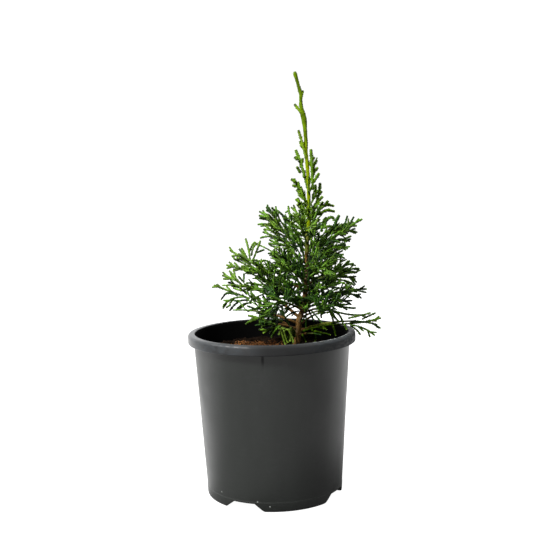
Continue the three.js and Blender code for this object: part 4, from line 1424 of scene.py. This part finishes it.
class FoliageSettings(bpy.types.PropertyGroup):
    """Scaly shoots."""

    shoot_radius: length_property("Shoot radius", "Radius over a shoot's scales", 0.00082, 0.0004, 0.002)
    whorl: length_property("Whorl", "Length of shoot that a pair of scales covers", 0.0017, 0.0006, 0.004)
    # Painted shade: the deep green is a darkened copy for shoots in the crown's shade
    deep: colour_property("Deep green", "Shoots near the trunk", (0.012, 0.04, 0.002))
    mid: colour_property("Middle green", "Most shoots", (0.06, 0.138, 0.008))
    # Painted light: the bright green is a lit copy for shoots at the crown's edge, and also the tips of
    # middle-green shoots
    bright: colour_property("Bright green", "Shoots at the crown's edge", (0.074, 0.148, 0.0095))
    fresh: colour_property("Fresh tips", "The last scales of a shoot", (0.118, 0.19, 0.02))
    spire: colour_property("Spire green", "Shoots round the leading shoot", (0.049, 0.105, 0.001))
    leader: colour_property("Leader green", "The leading shoot", (0.08, 0.138, 0.001))
    leader_foot: colour_property("Leader foot", "The leading shoot's lower half", (0.13, 0.17, 0.001))


class StageSettings(bpy.types.PropertyGroup):
    """Floor, light and camera."""

    floor: colour_property("Floor", "Colour of the floor", (0.24, 0.24, 0.24))
    lens: amount_property("Lens", "Focal length for a 36 mm sensor", LENS, 300, 10, unit="CAMERA")
    light: amount_property("Surroundings", "Strength of the even light from all round", 0.085, 3)
    gloss: amount_property("Reflections", "Brightness of what glossy surfaces reflect", 0.3, 3)
    rear: amount_property("Rear floor", "Brightness of the floor behind in reflections", 0.9, 5)
    key: amount_property("Key light", "Power of the soft light from the left", 130, 500, unit="POWER")
    fill: amount_property("Fill light", "Power of the broad light behind on the right", 55, 500, unit="POWER")


class PartOperator:
    """What the operators of this add-on share."""

    bl_options = {"REGISTER", "UNDO"}


# Pot

# Marks on its front, as middle, reach and edge: the rim's darker patch, a narrow dark mark down the wall
# under the rim, and the wall's wide run mark
RIM_DARK_PATCH = (8, 10, 34)
NARROW_MARK = (-8.8, 0.7, 1.0)
RUN_WIDE = (-7.3, 1, 7)
RUN_LEVEL = (127, 3, 14)
# Pale specks on the wall near the foot, and their pale colour, also used for the painted highlights on the
# rim's inner edge
PIPS = ((-51.3, -44.2, 13.5), (-16.7, -65.5, 10.3), (-5.1, -67.1, 6.0))
PALE_SPECK_AND_GLINT = (0.18, 0.19, 0.18, 1)
# How far the profiles' corners are rounded, and how the pot's edges are
OUTER_ROUND = 0.9
INNER_ROUND = 1.2
POT_SHARP = 40
EDGE_WIDTH = 0.35
EDGE_ANGLE = 50


def pot_profiles(top, rim):
    """The outside and the inside of the pot's wall, as radius and height."""
    lip_inner = rim - LIP_THICKNESS
    step = wall_radius(STEP_HEIGHT)
    outside = [
        (0, 0),
        (FOOT_RADIUS - FOOT_ROUND, 0),
        (wall_radius(FOOT_ROUND), FOOT_ROUND),
        (step, STEP_HEIGHT),
        (step - STEP_DEPTH, STEP_HEIGHT + 2 * STEP_DEPTH),
        (wall_radius(top - LIP_TOP), top - LIP_TOP),
        (lip_inner, top - LIP_TOP),
        (lip_inner, top - RIM_DROP),
        (rim, top - RIM_DROP),
        (rim, top - RIM_ROUND),
        (rim - RIM_ROUND, top),
        (0, top),
    ]
    mouth = wall_radius(top) - WALL
    inside = [
        (0, FLOOR),
        (wall_radius(FLOOR) - WALL, FLOOR),
        (mouth, top - RIM_ROUND),
        (mouth + RIM_ROUND, top + 0.01),
        (0, top + 0.01),
    ]
    return outside, inside


def pot_material(settings):
    """Satin black, bluish and smudged on the rim, with a darker patch on the rim's front, a narrow dark mark
    under the rim in front, and pale glints on the rim's inner edge as painted highlights.
    """
    top, rim = settings.height / MM, settings.rim_radius / MM
    made, tree, shader = material("pot_plastic", 0.4)
    masks = placed_group(tree, handled_plastic, Smudges=settings.smudges, Streak_Scale=70.0)
    place = object_place(tree)
    x, y, z = axes_of(tree, place)
    front = ramp_mm(tree, y, 0, -10)

    base = blended(tree, masks["Streaks"], tone(settings.colour, 0.6), tone(settings.colour, 1.4))
    mottled = ramp(tree, noise_node(tree, place, 300, 3, (0.6, 0.6, 1.5)), 0.35, 0.65)
    bluish = blended(tree, mottled, tone(settings.rim_colour, 0.3), tone(settings.rim_colour, 2))
    on_rim = ramp_mm(tree, z, top - RIM_DROP - 0.6, top - RIM_DROP + 0.4)
    whole = blended(tree, on_rim, base, bluish)

    # The rim's front is darker and duller over a patch
    rim_dark_patch = product(tree, near(tree, x, *RIM_DARK_PATCH), on_rim, front)
    inputs = {0: whole, "Scale": mapped(tree, rim_dark_patch, 1.0, 0.12)}
    whole = add_node(tree, "VectorMath", inputs, operation="SCALE").outputs["Vector"]
    whole = blended(tree, masks["Smudges"], whole, tone(settings.scuff_colour))
    # A narrow dark mark down the wall, just under the rim in front
    under_rim = ramp_mm(tree, z, top - RIM_DROP + 0.3, top - RIM_DROP - 0.3)
    narrow_mark_end = product(tree, ramp_mm(tree, z, 133, 148), under_rim)
    narrow_mark = product(tree, near(tree, x, *NARROW_MARK), narrow_mark_end, front)
    whole = blended(tree, narrow_mark, whole, tone(settings.colour, 0.15))

    level = add_node(tree, "CombineXYZ", {"X": x, "Y": y}).outputs["Vector"]
    radius = add_node(tree, "VectorMath", {0: level}, operation="LENGTH").outputs["Value"]
    # Painted highlights: pale glints broken up along the rim's inner top edge, in front on the right
    painted_edge_glints = product(
        tree,
        ramp_mm(tree, radius, rim - 5.0, rim - 5.6),
        ramp_mm(tree, z, top - 1.6, top - 1.2),
        ramp_mm(tree, x, 30, 46),
        front,
        ramp(tree, noise_node(tree, place, 330, 2), 0.5, 0.56),
    )
    whole = blended(tree, painted_edge_glints, whole, PALE_SPECK_AND_GLINT)
    for spot in PIPS:
        away = distance(tree, place, [k * MM for k in spot])
        whole = blended(tree, ramp_mm(tree, away, 0.9, 0.4), whole, PALE_SPECK_AND_GLINT)
    feed(tree, shader["Base Color"], whole)

    rough = mapped(tree, masks["Patches"], 0.36, 0.46)
    rough = mapped(tree, on_rim, rough, mapped(tree, mottled, 0.5, 0.82))
    polish = product(tree, ramp_mm(tree, x, -45, -70), on_rim)
    wide = product(tree, near(tree, x, *RUN_WIDE), near(tree, z, *RUN_LEVEL), front)
    for mask, dull in ((polish, 0.34), (wide, 0.75), (rim_dark_patch, 1.0), (narrow_mark, 0.8)):
        rough = mapped(tree, mask, rough, dull)
    feed(tree, shader["Roughness"], rough)
    bump(tree, shader, masks["Streaks"], 0.25, 0.0004)
    return made


class JUNIPER_OT_pot(PartOperator, bpy.types.Operator):
    """Makes the pot: a turned-over rim, a thin tapered wall, and a foot with four cut-up pockets"""

    bl_idname = "juniper.pot"
    bl_label = "Pot"

    def execute(self, context):
        settings = context.scene.juniper_pot
        top = settings.height / MM
        outside, inside = pot_profiles(top, settings.rim_radius / MM)
        hollow = spun("pot_hollow", softened(inside, INNER_ROUND), SPIN_STEPS)
        hollow = cut(hollow, [pocket_blocks("pocket_walls", WALL)])
        shell = spun("pot_shell", softened(outside, OUTER_ROUND), SPIN_STEPS)
        shell = cut(shell, [hollow, pocket_blocks("pockets", 0), drain_rods("drains")])
        shell = cleaned("pot_shell", shell, sharp=POT_SHARP)
        shell.materials.clear()
        # The inside of the pot gets a near-black material as painted shade, for the shade within it
        dull, _, shader = material("pot_inside", 0.8, 0.03)
        shader["Base Color"].default_value = tone(settings.inside)
        piece = finished(shell, "pot", [pot_material(settings), dull], "pot")
        for face in shell.polygons:
            middle = face.center / MM
            within = math.hypot(middle.x, middle.y) < wall_radius(middle.z) - WALL * 0.6
            face.material_index = int(within and FLOOR + 0.5 < middle.z < top - 0.9)
        edges = piece.modifiers.new("edges", "BEVEL")
        edges.width = EDGE_WIDTH * MM
        edges.segments = 2
        edges.limit_method = "ANGLE"
        edges.angle_limit = math.radians(EDGE_ANGLE)
        return {"FINISHED"}


# Soil

# Rings across the bed and steps round it, how far its edge is rounded off, and the lumps' height and scale
BED = Values(rings=70, steps=160, shoulder=1.2, lumps=0.7, scale=0.35)
# Crumbs: their colours' shares of the number, and ranges of size, width, thickness and rise
CRUMB_SHARES = {"dark": 0.55, "red": 0.3, "tan": 0.15}
CRUMB = {"size": (0.45, 1.5), "width": (0.4, 0.9), "thickness": (0.3, 0.6), "rise": (-0.05, 0.3)}
CRUMB_LEAN = 0.7
# How far a crumb's points are shaken, and where the noise is read for each of their axes
CRUMB_SHAKE = 0.22
CRUMB_SHIFTS = ((9.3, -1.5, -7.9), (-3.7, 8.2, 4.6), (5.1, 12.8, -2.4))
# A patch of soil as painted light, where light falls on it, as right, back and radius: red and tan crumbs and
# fibres lie only there, and outside it only dark crumbs, as painted shade
LIT_SOIL_PATCH = (-12, 12, 32)
LIT_SOIL_EDGE = (0.7, 1.1)
# Fibres: ranges of length and rise, their bend, lift off the soil and radii, and how they gather
FIBRE = Values(length=(4, 13), rise=(0, 3.2), bend=0.5, lift=0.9, gather=0.45)
FIBRE_RADII = [0.2, 0.22, 0.2, 0.18, 0.14, 0.08]


def soil_edge(height):
    return wall_radius(height) - WALL - GAP


def crumb(seed):
    """A rough crumb from a jittered sphere of twenty faces, a millimetre long."""
    bm = bmesh.new()
    bmesh.ops.create_icosphere(bm, subdivisions=1, radius=0.5)
    for vertex in bm.verts:
        spot = vertex.co * 3 + Vector((seed, 2.0 * seed, 0))
        vertex.co += Vector([noise.noise(spot + Vector(shift)) for shift in CRUMB_SHIFTS]) * CRUMB_SHAKE
    return small_shape(bm)


def turned(roll):
    """A random turn, mostly about the upright."""
    lean = Matrix.Rotation(swing(CRUMB_LEAN, roll), 4, "X") @ Matrix.Rotation(swing(CRUMB_LEAN, roll), 4, "Y")
    return lean @ Matrix.Rotation(2 * math.pi * next(roll), 4, "Z")


def soil_spot(roll, margin):
    """A random place on the soil, as far in from its edge as the margin."""
    reach = (soil_edge(SOIL_LEVEL) - margin) * math.sqrt(next(roll))
    turn = 2 * math.pi * next(roll)
    return reach * math.cos(turn), reach * math.sin(turn)


def soil_bed():
    """The soil down to the pot's floor, with a lumpy top, and cut out over the pockets."""
    base, edge = FLOOR + GAP, soil_edge(SOIL_LEVEL)
    rings = [(edge * (1 - k / BED.rings), SOIL_LEVEL) for k in range(1, BED.rings + 1)]
    profile = [(0, base), (soil_edge(base), base), (edge, SOIL_LEVEL - BED.shoulder), *rings]

    def lump(point, normal):
        if point.z < SOIL_LEVEL - 0.5:
            return 0
        lumps = BED.lumps * noise.fractal(point * BED.scale, 0.7, 2.1, 3)
        return soil_height(point.x, point.y) - SOIL_LEVEL + lumps

    bed = displaced(spun("soil_bed", profile, BED.steps), lump)
    bed = cut(bed, [pocket_blocks("soil_pockets", WALL + GAP)])
    bed.name = "soil_bed"
    bed.materials.clear()
    return bed


def crumb_places(name, count, length, roll):
    """Where crumbs of a colour lie. The red and the tan ones lie only in the lit patch of soil, as painted
    light.
    """
    places = []
    for _ in range(count):
        x, y = soil_spot(roll, 2)
        size = length * lerp(*CRUMB["size"], next(roll) ** 2)
        if name != "dark":
            away = math.hypot(x - LIT_SOIL_PATCH[0], y - LIT_SOIL_PATCH[1])
            if away > LIT_SOIL_PATCH[2] * lerp(*LIT_SOIL_EDGE, next(roll)):
                continue
        width, thickness = (size * lerp(*CRUMB[k], next(roll)) for k in ("width", "thickness"))
        high = soil_height(x, y) + size * lerp(*CRUMB["rise"], next(roll))
        form = Matrix.Diagonal((size, width, thickness, 1))
        places.append(Matrix.Translation((x, y, high)) @ turned(roll) @ form)
    return places


def fibre(roll):
    """The points of a coir fibre that bends over the lit patch of soil, a part of its painted light."""
    x, y = (place * FIBRE.gather for place in soil_spot(roll, 6))
    x, y = x + LIT_SOIL_PATCH[0], y + LIT_SOIL_PATCH[1]
    turn, length = 2 * math.pi * next(roll), lerp(*FIBRE.length, next(roll))
    bend, rise = swing(FIBRE.bend, roll), lerp(*FIBRE.rise, next(roll))
    points = []
    for k in range(len(FIBRE_RADII)):
        t = k / (len(FIBRE_RADII) - 1)
        way = turn + bend * t
        point = Vector((x + math.cos(way) * length * (t - 0.5), y + math.sin(way) * length * (t - 0.5), 0))
        point.z = soil_height(point.x, point.y) + FIBRE.lift + rise * 4 * t * (1 - t)
        points.append(point)
    return points


class JUNIPER_OT_soil(PartOperator, bpy.types.Operator):
    """Makes the potting mix: a lumpy bed, with bark crumbs in three colours and coir fibres on it"""

    bl_idname = "juniper.soil"
    bl_label = "Soil"

    def execute(self, context):
        settings = context.scene.juniper_soil
        look = drifting_material("soil_fines", tone(settings.dark), tone(settings.dark, 0.4))
        finished(soil_bed(), "soil", [look], "soil")
        for index, (name, share) in enumerate(CRUMB_SHARES.items()):
            roll = dice(SEEDS.crumbs + index)
            places = crumb_places(name, int(settings.chips * share), settings.chip_size / MM, roll)
            colour = getattr(settings, name)
            look = drifting_material("crumbs", tone(colour), tone(colour, 0.45), "_" + name)
            chips = placed_copies("soil_chips_" + name, crumb(index), places)
            finished(chips, "soil", [look], "soil")
        roll = dice(SEEDS.fibres)
        strands = [(fibre(roll), FIBRE_RADII) for _ in range(settings.fibres)]
        look = drifting_material("coir", tone(settings.tan), tone(settings.red, 0.8))
        finished(limb_mesh("soil_fibres", strands, sides=4), "soil", [look], "soil")
        return {"FINISHED"}


# Wood

# The dressed trunk: its top and rings, the share by which trunk, boughs and twigs are thicker or
# thinner than the solids' lines, its voxels, and where its foot ends to the right
BARK_TOP = 258
TRUNK_STEPS = 60
BOUGH_STEPS = 12
TRUNK_SWELL = 1.16
BOUGH_SWELL = 0.85
TWIG_SWELL = 0.8
VOXEL = 0.34
FOOT_RIGHT = 33
# Flakes: how much they are drawn out, their scale, steepness and sunk share, and a finer roughness
FLAKE = Values(drawn=0.74, scale=0.85, steep=2.4, sunk=0.7, rough=0.8, rough_scale=1.3)
WARM_BARK = (0.24, 0.115, 0.022, 1)
GREY_BARK = (0.12, 0.088, 0.045, 1)
OLIVE_BARK = (0.08, 0.09, 0.01, 1)


def limb_ways(limbs, points):
    """For each point, the direction of the limb nearest to it."""
    parts = [s for line, radii in limbs for s in Space.segments(line, radii, "")]
    lines = Space.arrays(parts)
    nearest = Space.distances(lines, points).argmin(axis=1)
    return unit(lines[1])[nearest]


def with_bark(mesh, limbs, relief):
    """Sinks long cracks between flakes into limbs, the flakes drawn out along each limb."""
    points = np.array([v.co for v in mesh.vertices]) / MM
    ways = limb_ways(limbs, points)
    spots = iter(points - FLAKE.drawn * (points * ways).sum(1, keepdims=True) * ways)

    def flake(point, normal):
        spot = Vector(next(spots))
        nearest, second = noise.voronoi(spot * FLAKE.scale)[0][:2]
        plate = min((second - nearest) * FLAKE.steep, 1.0)
        rough = FLAKE.rough * noise.fractal(spot * FLAKE.rough_scale, 0.8, 2.1, 3)
        return relief * ((plate - FLAKE.sunk) + rough)

    return displaced(mesh, flake)


def bark_material(name, colour):
    """Flaky bark: dark in its cracks, reddish and grey by patches, with bright reddish patches above 200 mm
    as painted sun flecks, and olive on the outer boughs.
    """
    made, tree, shader = material(name, 0.85, 0.15)
    tones = placed_group(
        tree, tone_drift, Color=tone(colour), Dark=tone(colour, 0.3), Broad_Scale=95, Fine_Scale=1100
    )
    place = object_place(tree)
    right, _, high = axes_of(tree, place)
    patches = ramp(tree, noise_node(tree, place, 130, 2, (1, 1, 0.4)), 0.5, 0.68)
    # Painted sunlight: above 200 mm the warm colour lies in bright patches as sun flecks, below it an even
    # quarter of it tints the bark
    painted_sun_flecks = mapped(tree, ramp_mm(tree, high, 200, 215), 0.25, patches)
    warm = blended(tree, painted_sun_flecks, tones["Color"], WARM_BARK)
    grey = ramp(tree, noise_node(tree, place, 170, 3, (1, 1, 0.5)), 0.56, 0.7)
    old = blended(tree, grey, warm, GREY_BARK)
    low = product(tree, ramp_mm(tree, high, 178, 170), ramp_mm(tree, right, FOOT_RIGHT, FOOT_RIGHT + 6))
    olive = worked_out(tree, "MAXIMUM", ramp_mm(tree, high, 231, 241), ramp_mm(tree, right, 40, 55))
    olive = worked_out(tree, "MAXIMUM", olive, low)
    feed(tree, shader["Base Color"], blended(tree, olive, old, OLIVE_BARK))
    bump(tree, shader, tones["Fine"], 0.6, 0.0004)
    return made


class JUNIPER_OT_trunk(PartOperator, bpy.types.Operator):
    """Makes the trunk and the boughs under flaky bark, and the cut-off stub at the trunk's foot"""

    bl_idname = "juniper.trunk"
    bl_label = "Trunk and boughs"

    def execute(self, context):
        settings = context.scene.juniper_wood
        line = trunk_line(TRUNK_FOOT, BARK_TOP, TRUNK_STEPS)
        limbs = [as_limb(line, TRUNK_SWELL)]
        boughs = []
        for spray in grown_sprays():
            if spray["bare"] > 0:
                steps = BOUGH_STEPS
                points = spray_line(spray, 0, spray["bare"] + GAP / spray["length"], steps)
                shares = (lerp(BOUGH.foot, BOUGH.end + 0.2, k / steps) for k in range(steps + 1))
                limbs.append((points, [spray["thick"] * share * BOUGH_SWELL for share in shares]))
                boughs.append("bough_" + spray["name"])
        foot = trunk_at(STUB.height)[0]
        turn = math.radians(STUB.azimuth)
        reach, radius = STUB.reach, STUB.radius
        onward = Vector((reach * math.cos(turn), reach * math.sin(turn), STUB.rise))
        limbs.append(([foot, foot + onward * 0.5, foot + onward * 0.97], [radius * 0.95] * 3))
        mesh = limb_mesh("trunk_bark", limbs, sides=16, voxel=VOXEL)
        mesh = with_bark(mesh, limbs, settings.relief / MM)
        finished(mesh, "bark", [bark_material("flaky_bark", settings.bark)], "trunk", *boughs)
        disc = ([foot + onward * 0.93, foot + onward], [radius * 0.98, radius * 0.9])
        pale = drifting_material("cut_wood", tone(settings.cut), tone(settings.cut, 0.6))
        finished(limb_mesh("stub_face", [disc], sides=20), "bark", [pale], "trunk")
        return {"FINISHED"}


@functools.lru_cache(maxsize=1)
def grown_plant(shoot_radius):
    growth = Growth(shoot_radius)
    for spray in growth.sprays:
        growth.spray(spray)
    growth.trunk_fans()
    growth.shown()
    return growth


def foliage_nodes():
    return ["foliage_" + spray["name"] for spray in grown_sprays()]


class JUNIPER_OT_twigs(PartOperator, bpy.types.Operator):
    """Makes the stems and twigs that the foliage grows on"""

    bl_idname = "juniper.twigs"
    bl_label = "Twigs"

    def execute(self, context):
        settings = context.scene.juniper_wood
        twigs = grown_plant(context.scene.juniper_foliage.shoot_radius).twigs
        limbs = [(points, [r * TWIG_SWELL for r in radii]) for points, radii in twigs]
        mesh = limb_mesh("twigs", limbs, sides=8)
        look = drifting_material("young_bark", tone(settings.young), tone(settings.young, 0.5))
        finished(mesh, "bark", [look], *foliage_nodes())
        return {"FINISHED"}


# Foliage

# Young growth has longer scales, that shine less and drift less between light and dark
YOUNG = ("spire", "leader", "leader_cord", "leader_scales")
YOUNG_PITCH = 1.5


def scale_material(name, colour, foot=None):
    """Waxy scale leaves: a green that drifts a little, with a soft sheen, and yellower towards a foot."""
    gloss, dark = (0.05, 0.5) if name in YOUNG else (0.09, 0.28)
    made, tree, shader = material("scales_" + name, 0.44, gloss)
    tones = placed_group(
        tree, tone_drift, Color=tone(colour), Dark=tone(colour, dark), Broad_Scale=150, Fine_Scale=600
    )
    shown = tones["Color"]
    if foot:
        high = axes_of(tree, object_place(tree))["Z"]
        shown = blended(tree, ramp_mm(tree, high, 360, 315), shown, tone(foot))
    feed(tree, shader["Base Color"], shown)
    bump(tree, shader, tones["Fine"], 0.5, 0.0006)
    return made


class JUNIPER_OT_foliage(PartOperator, bpy.types.Operator):
    """Makes the scaly shoots, a piece for each green"""

    bl_idname = "juniper.foliage"
    bl_label = "Foliage"

    def execute(self, context):
        settings = context.scene.juniper_foliage
        for name, rows in grown_plant(settings.shoot_radius).shoots.items():
            if not rows:
                raise RuntimeError("no shoots are " + name)
            pitch = settings.whorl / MM * (YOUNG_PITCH if name in YOUNG else 1)
            mesh = scaly_mesh("shoots_" + name, rows, pitch)
            look = scale_material(name, getattr(settings, name))
            if name == "leader":
                finished(mesh, "leader", [look], "foliage_leader")
            else:
                finished(mesh, "foliage", [look], *foliage_nodes())
        return {"FINISHED"}


# The leading shoot: its cord's rings and swell, the length of a whorl of scales, how far under the
# tip they end, how deep they sit, their stagger and shake in degrees, and ranges of lean and length
CORD = Values(rings=110, swell=1.1, whorl=1.2, under_tip=2.4, sunk=0.94)
AWL = Values(stagger=60, shake=14, lean=(0.06, 0.26), length=(2.0, 2.7), narrow=0.6, swell=1.7)


def awl():
    """A slim pointed scale, a millimetre long, with its foot at the origin."""
    bm = bmesh.new()
    lift = Matrix.Translation((0, 0, 0.5))
    bmesh.ops.create_cone(bm, cap_ends=True, segments=4, radius1=0.2, radius2=0.05, depth=1, matrix=lift)
    cuts = [e for e in bm.edges if abs(e.verts[0].co.z - e.verts[1].co.z) > 0.5]
    bmesh.ops.subdivide_edges(bm, edges=cuts, cuts=1)
    for vertex in bm.verts:
        if 0.4 < vertex.co.z < 0.6:
            vertex.co.x *= AWL.swell
            vertex.co.y *= AWL.swell
    bmesh.ops.triangulate(bm, faces=bm.faces)
    return small_shape(bm)


class JUNIPER_OT_leader(PartOperator, bpy.types.Operator):
    """Makes the leading shoot, a cord clad in long overlapping scales"""

    bl_idname = "juniper.leader"
    bl_label = "Leading shoot"

    def execute(self, context):
        settings = context.scene.juniper_foliage
        greens = (settings.leader, settings.leader_foot)
        foot, top = LEADER_LINE[0][0], LEADER_LINE[-1][0]
        line = [trunk_at(lerp(foot, top, k / CORD.rings), LEADER_LINE) for k in range(CORD.rings + 1)]
        cord = limb_mesh("leader_cord", [as_limb(line, CORD.swell)], sides=10)
        finished(cord, "leader", [scale_material("leader_cord", *greens)], "trunk")
        roll = dice(SEEDS.leader_scales)
        places = []
        whorls = int((top - foot) / CORD.whorl)
        for k in range(whorls):
            height = lerp(foot, top - CORD.under_tip, (k + 0.5) / whorls)
            spot, radius = trunk_at(height, LEADER_LINE)
            along = (trunk_at(height + 1, LEADER_LINE)[0] - spot).normalized()
            stand = Matrix.Translation(spot) @ along.to_track_quat("Z", "Y").to_matrix().to_4x4()
            foot_at = Matrix.Translation((0, -radius * CORD.sunk, 0))
            for n in range(3):
                azimuth = 120 * n + AWL.stagger * (k % 2) + AWL.shake * next(roll)
                turn = Matrix.Rotation(math.radians(azimuth), 4, "Z")
                lean = Matrix.Rotation(lerp(*AWL.lean, next(roll)), 4, "X")
                size = lerp(*AWL.length, next(roll))
                form = Matrix.Diagonal((size, size * AWL.narrow, size, 1))
                places.append(stand @ turn @ foot_at @ lean @ form)
        scales = placed_copies("leader_scales", awl(), places)
        finished(scales, "leader", [scale_material("leader_scales", *greens)], "trunk")
        return {"FINISHED"}


# Stage

FLOOR_RADIUS = 8
WHITE = (1, 1, 1, 1)
# The soft shadow on the floor: its middle, its inner and outer radius, and its darkness
SHADOW = Values(middle=(0.05, -0.02, 0), inner=0.085, outer=0.135, dark=0.35)
# Lamps: size, place, and whether glossy surfaces show them
LAMPS = {"key": (0.4, (-0.9, -0.9, 1.6), True), "fill": (1.2, (1.1, 1.0, 1.3), False)}
AIM = Vector((0, 0, 0.2))


def brightness(tree, way, side, rear, gloss, plain, seen):
    """A brightness by the kind of ray: seen by the camera, plain for light, and for reflections one that
    changes with the way they come from, from left to right by side and from front to rear by rear."""
    way = axes_of(tree, way)
    rays = tree.nodes.new("ShaderNodeLightPath").outputs
    left, right = side
    start, front, back = rear
    factors = [mapped(tree, way["X"], left, right, -1.0), mapped(tree, way["Y"], front, back, start)]
    glossy = mapped(tree, rays["Is Glossy Ray"], plain, product(tree, *factors, *gloss))
    return mapped(tree, rays["Is Camera Ray"], glossy, seen)


def stage_floor(settings):
    """A pale floor that carries a painted soft shadow, is white to the camera, and glows as a stand-in light:
    faintly for what it lights, brighter behind and on the left in reflections.
    """
    bm = bmesh.new()
    bmesh.ops.create_circle(bm, cap_ends=True, segments=96, radius=FLOOR_RADIUS)
    floor = bpy.data.objects.new("floor", mesh_from("floor", bm))
    if floor.data.polygons[0].normal.z < 0:
        floor.data.flip_normals()
    bpy.context.scene.collection.objects.link(floor)
    look, tree, shader = material("pale_floor", 0.9)
    shader["Emission Color"].default_value = WHITE
    spot = object_place(tree)
    away = ramp(tree, distance(tree, spot, SHADOW.middle), SHADOW.inner, SHADOW.outer)
    dark = tone(settings.floor, SHADOW.dark)
    feed(tree, shader["Base Color"], blended(tree, away, dark, tone(settings.floor)))
    way = add_node(tree, "VectorMath", {0: spot}, operation="NORMALIZE").outputs["Vector"]
    glow = brightness(tree, way, (1.9, 0.55), (-0.3, 0.0, settings.rear), (), 0.03, 1.0)
    feed(tree, shader["Emission Strength"], glow)
    floor.data.materials.append(look)


def surroundings(settings):
    """Even light from all round, which is brighter behind and on the left in reflections."""
    world = bpy.data.worlds.new("surroundings")
    world.use_nodes = True
    tree = world.node_tree
    background = tree.nodes["Background"].inputs
    background["Color"].default_value = WHITE
    way = add_node(tree, "TexCoord").outputs["Generated"]
    glow = brightness(tree, way, (2.3, 0.6), (-0.6, 0.5, 3.6), (settings.gloss,), settings.light, 1.05)
    feed(tree, background["Strength"], glow)
    return world


def lamp(name, power):
    """A square lamp that is aimed at the middle of the part."""
    size, place, glossy = LAMPS[name]
    area = bpy.data.lights.new(name, "AREA")
    area.energy = power
    area.size = size
    light = bpy.data.objects.new(name, area)
    light.location = place
    light.visible_glossy = glossy
    light.rotation_euler = (AIM - light.location).to_track_quat("-Z", "Y").to_euler()
    return light


def fitted_camera(lens):
    """The camera, where its fitted place and turn put it."""
    eye = bpy.data.cameras.new("camera")
    eye.lens = lens
    eye.sensor_width = SENSOR
    right, up, forward = CAMERA_AXES
    turn = Matrix((right, up, -forward)).transposed().to_4x4()
    camera = bpy.data.objects.new("camera", eye)
    camera.matrix_world = Matrix.Translation(CAMERA_PLACE * MM) @ turn
    return camera


class JUNIPER_OT_stage(PartOperator, bpy.types.Operator):
    """Lays the floor, sets the soft light and puts up the camera"""

    bl_idname = "juniper.stage"
    bl_label = "Stage"

    def execute(self, context):
        scene = context.scene
        settings = scene.juniper_stage
        scene.view_settings.view_transform = "Standard"
        stage_floor(settings)
        scene.world = surroundings(settings)
        scene.camera = fitted_camera(settings.lens)
        for thing in (lamp("key", settings.key), lamp("fill", settings.fill), scene.camera):
            scene.collection.objects.link(thing)
        return {"FINISHED"}


OPERATORS = (
    JUNIPER_OT_stage,
    JUNIPER_OT_pot,
    JUNIPER_OT_soil,
    JUNIPER_OT_trunk,
    JUNIPER_OT_twigs,
    JUNIPER_OT_foliage,
    JUNIPER_OT_leader,
)


class JUNIPER_PT_parts(bpy.types.Panel):
    """The pieces of the potted juniper and their settings"""

    bl_label = "Potted juniper"
    bl_idname = "JUNIPER_PT_parts"
    bl_space_type = "VIEW_3D"
    bl_region_type = "UI"
    bl_category = "Juniper"

    def draw(self, context):
        column = self.layout.column(align=True)
        for operator in OPERATORS:
            column.operator(operator.bl_idname)
        for name in SETTINGS:
            settings = getattr(context.scene, name)
            box = self.layout.box()
            for prop in settings.bl_rna.properties:
                if prop.identifier not in ("rna_type", "name"):
                    box.prop(settings, prop.identifier)


SETTINGS = {
    "juniper_pot": PotSettings,
    "juniper_soil": SoilSettings,
    "juniper_wood": WoodSettings,
    "juniper_foliage": FoliageSettings,
    "juniper_stage": StageSettings,
}


def register():
    for cls in (*SETTINGS.values(), *OPERATORS, JUNIPER_PT_parts):
        bpy.utils.register_class(cls)
    for name, cls in SETTINGS.items():
        setattr(bpy.types.Scene, name, PointerProperty(type=cls))


def unregister():
    for name in SETTINGS:
        delattr(bpy.types.Scene, name)
    for cls in (JUNIPER_PT_parts, *reversed(OPERATORS), *reversed(SETTINGS.values())):
        bpy.utils.unregister_class(cls)


def main():
    register()
    bpy.ops.juniper.stage()
    bpy.ops.juniper.pot()
    bpy.ops.juniper.soil()
    bpy.ops.juniper.trunk()
    bpy.ops.juniper.twigs()
    bpy.ops.juniper.foliage()
    bpy.ops.juniper.leader()


if __name__ == "__main__":
    main()
